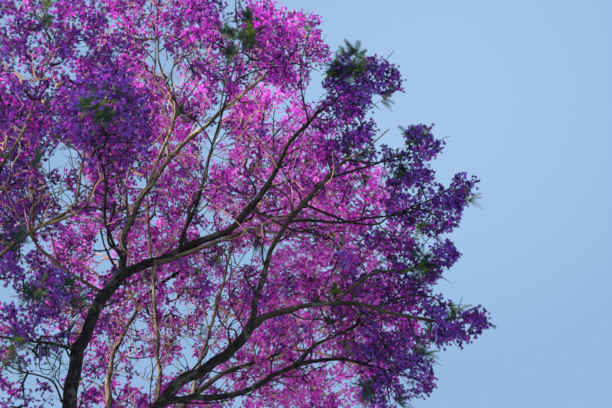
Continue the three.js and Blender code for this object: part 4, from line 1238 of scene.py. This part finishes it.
# Fern leaves: a rib with pairs of narrow leaflets, drooping to its tip
def fernLeaves(base, heading, length, rng):
    count = len(base)
    side = unit(np.cross(heading, [0, 0, 1.0]))
    lift = np.cross(side, heading)
    droop = rng.uniform(*leaf["droop"], count)

    def rib(share):
        return (base + heading * (length * share)[:, None]
                - np.array([0, 0, 1.0]) * (length * droop * share**2)[:, None])
    corners, faces = [], [[0, 1, 3], [0, 3, 2], [2, 3, 4]]
    for end in (0.0, 0.5, 1.0):
        width = side * leaf["rib"] * (1.2 - end)
        corners += [rib(end) - width, rib(end) + width]
    for pair in range(leaf["pairs"]):
        share = lerp(*leaf["between"], pair / (leaf["pairs"] - 1))
        reach = leaf["width"] * math.sin(math.pi * (0.2 + 0.72 * share))**0.8 * length / leaf["length"]
        for hand in (-1, 1):
            foot = rib(share)
            lean = heading * leaf["pinnaLean"][0] + side * hand - lift * leaf["pinnaLean"][1]
            tip = foot + unit(lean) * reach[:, None]
            width = heading * leaf["pinna"] / 2 * (length / leaf["length"])[:, None]
            start = len(corners)
            corners += [foot - width, foot + width, tip]
            faces.append([start, start + 1, start + 2])
    total = len(corners)
    faces = np.array(faces)[None] + (np.arange(count) * total)[:, None, None]
    return np.stack(corners, 1).reshape(-1, 3), faces.reshape(-1, 3)


leafSeed = np.random.default_rng(seeds["leaf"])
onSpray = leafSeed.uniform(*leaf["alongSpray"], leafy.sum() * leaf["perSpray"])[:, None]
leafFeet, leafTips = (np.repeat(v[leafy], leaf["perSpray"], 0) for v in (feet, tips))
leafAxis = unit(leafTips - leafFeet)
leafBase = lerp(leafFeet, leafTips, onSpray)
leafSide = anySide(leafAxis, leafSeed)
leafHeading = leafAxis * leafSeed.uniform(*leaf["forward"], (len(leafSide), 1)) + leafSide
leafHeading = leafHeading + np.array([0, 0, leaf["lift"]])
leafLength = leaf["length"] * leafSeed.uniform(*leaf["lengthPlay"], len(leafBase))
# leaf_dark: the leaves' own green, darkened as painted shade; leaf_sunlit: yellow-green painted sunlight
leafTints = {"leaf_dark": plain(38, 74, 54), "leaf_sunlit": plain(112, 138, 42)}
brightness = leafSeed.random(len(leafBase))
bright = brightness < np.repeat(leafSeed.choice(leaf["lit"], leafy.sum()), leaf["perSpray"])
for name, chosen in (("leaf_dark", ~bright), ("leaf_sunlit", bright)):
    material = leafyMaterial(name, leafTints[name], 0.3, 0.5)
    points, faces = fernLeaves(leafBase[chosen], unit(leafHeading[chosen]), leafLength[chosen], leafSeed)
    piece = makeMesh(name, points, faces, material)
    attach(piece, "root")
    print(name, len(faces), "triangles")


# Floor, sky, lights and camera
floorRule = {"half": 60, "under": 0.002, "tones": ((0.36, 0.37, 0.38, 1), (0.4, 0.41, 0.42, 1))}


def makeFloor():
    mesh = bpy.data.meshes.new("floor")
    half = floorRule["half"]
    corners = [(-half, -half, 0), (half, -half, 0), (half, half, 0), (-half, half, 0)]
    mesh.from_pydata(corners, [], [(0, 1, 2, 3)])
    floor = bpy.data.objects.new("floor", mesh)
    bpy.context.scene.collection.objects.link(floor)
    floor.location.z = -floorRule["under"]
    material, tree, shader = newMaterial("floorPale")
    patches = addNode(tree, "ShaderNodeTexNoise", {"Scale": 3.0, "Detail": 2.0})
    pale = blend(tree, patches.outputs["Fac"], *floorRule["tones"])
    tree.links.new(pale, shader.inputs["Base Color"])
    shader.inputs["Roughness"].default_value = 1.0
    shader.inputs["Specular IOR Level"].default_value = 0.0
    mesh.materials.append(material)


light = {
    "sky": plain(165, 199, 235), "skyEdge": plain(150, 185, 224), "brightest": (0.14, 0.69, 0.71),
    "brightFrom": 0.955,
    "fill": (0.6, 0.77, 1.0), "fillPower": 0.43,
    "lamps": {
        "sun": {"from": (-0.9, -0.2, 0.36), "power": 11.4, "colour": (1.0, 0.94, 0.94), "spread": 8},
        "soft": {"from": (0.8, -0.5, 0.12), "power": 3.3, "colour": (0.66, 0.78, 1.0), "spread": 60},
    },
}


def makeSky():
    world = bpy.data.worlds.new("sky")
    bpy.context.scene.world = world
    world.use_nodes = True
    tree = world.node_tree
    seenSky = tree.nodes["Background"]
    aim = addNode(tree, "ShaderNodeTexCoord")
    toward = addNode(tree, "ShaderNodeVectorMath", {0: aim.outputs["Generated"], 1: unit(light["brightest"])},
                     operation="DOT_PRODUCT")
    share = ranged(tree, toward.outputs["Value"], light["brightFrom"], 1.0)
    tree.links.new(blend(tree, share, (*light["skyEdge"], 1), (*light["sky"], 1)), seenSky.inputs["Color"])
    seenSky.inputs["Strength"].default_value = 1.0
    glow = {"Color": (*light["fill"], 1), "Strength": light["fillPower"]}
    fill = addNode(tree, "ShaderNodeBackground", glow)
    path = addNode(tree, "ShaderNodeLightPath")
    mix = addNode(tree, "ShaderNodeMixShader", {0: path.outputs["Is Camera Ray"], 1: fill.outputs[0],
                                                2: seenSky.outputs[0]})
    tree.links.new(mix.outputs[0], tree.nodes["World Output"].inputs["Surface"])


def makeLamp(name, lamp):
    data = bpy.data.lights.new(name, "SUN")
    data.energy = lamp["power"]
    data.color = lamp["colour"]
    data.angle = math.radians(lamp["spread"])
    made = bpy.data.objects.new(name, data)
    bpy.context.scene.collection.objects.link(made)
    made.rotation_euler = Vector(lamp["from"]).to_track_quat("Z", "Y").to_euler()


def makeCamera():
    data = bpy.data.cameras.new("camera")
    data.lens = shot["lens"]
    data.sensor_width = shot["sensor"]
    data.clip_end = 300
    camera = bpy.data.objects.new("camera", data)
    bpy.context.scene.collection.objects.link(camera)
    camera.location = shot["place"]
    camera.rotation_euler = (math.radians(90 + shot["tilt"]), 0, 0)
    bpy.context.scene.camera = camera


makeFloor()
makeSky()
for name, lamp in light["lamps"].items():
    makeLamp(name, lamp)
makeCamera()
bpy.context.scene.view_settings.view_transform = "Standard"
print("scene set")
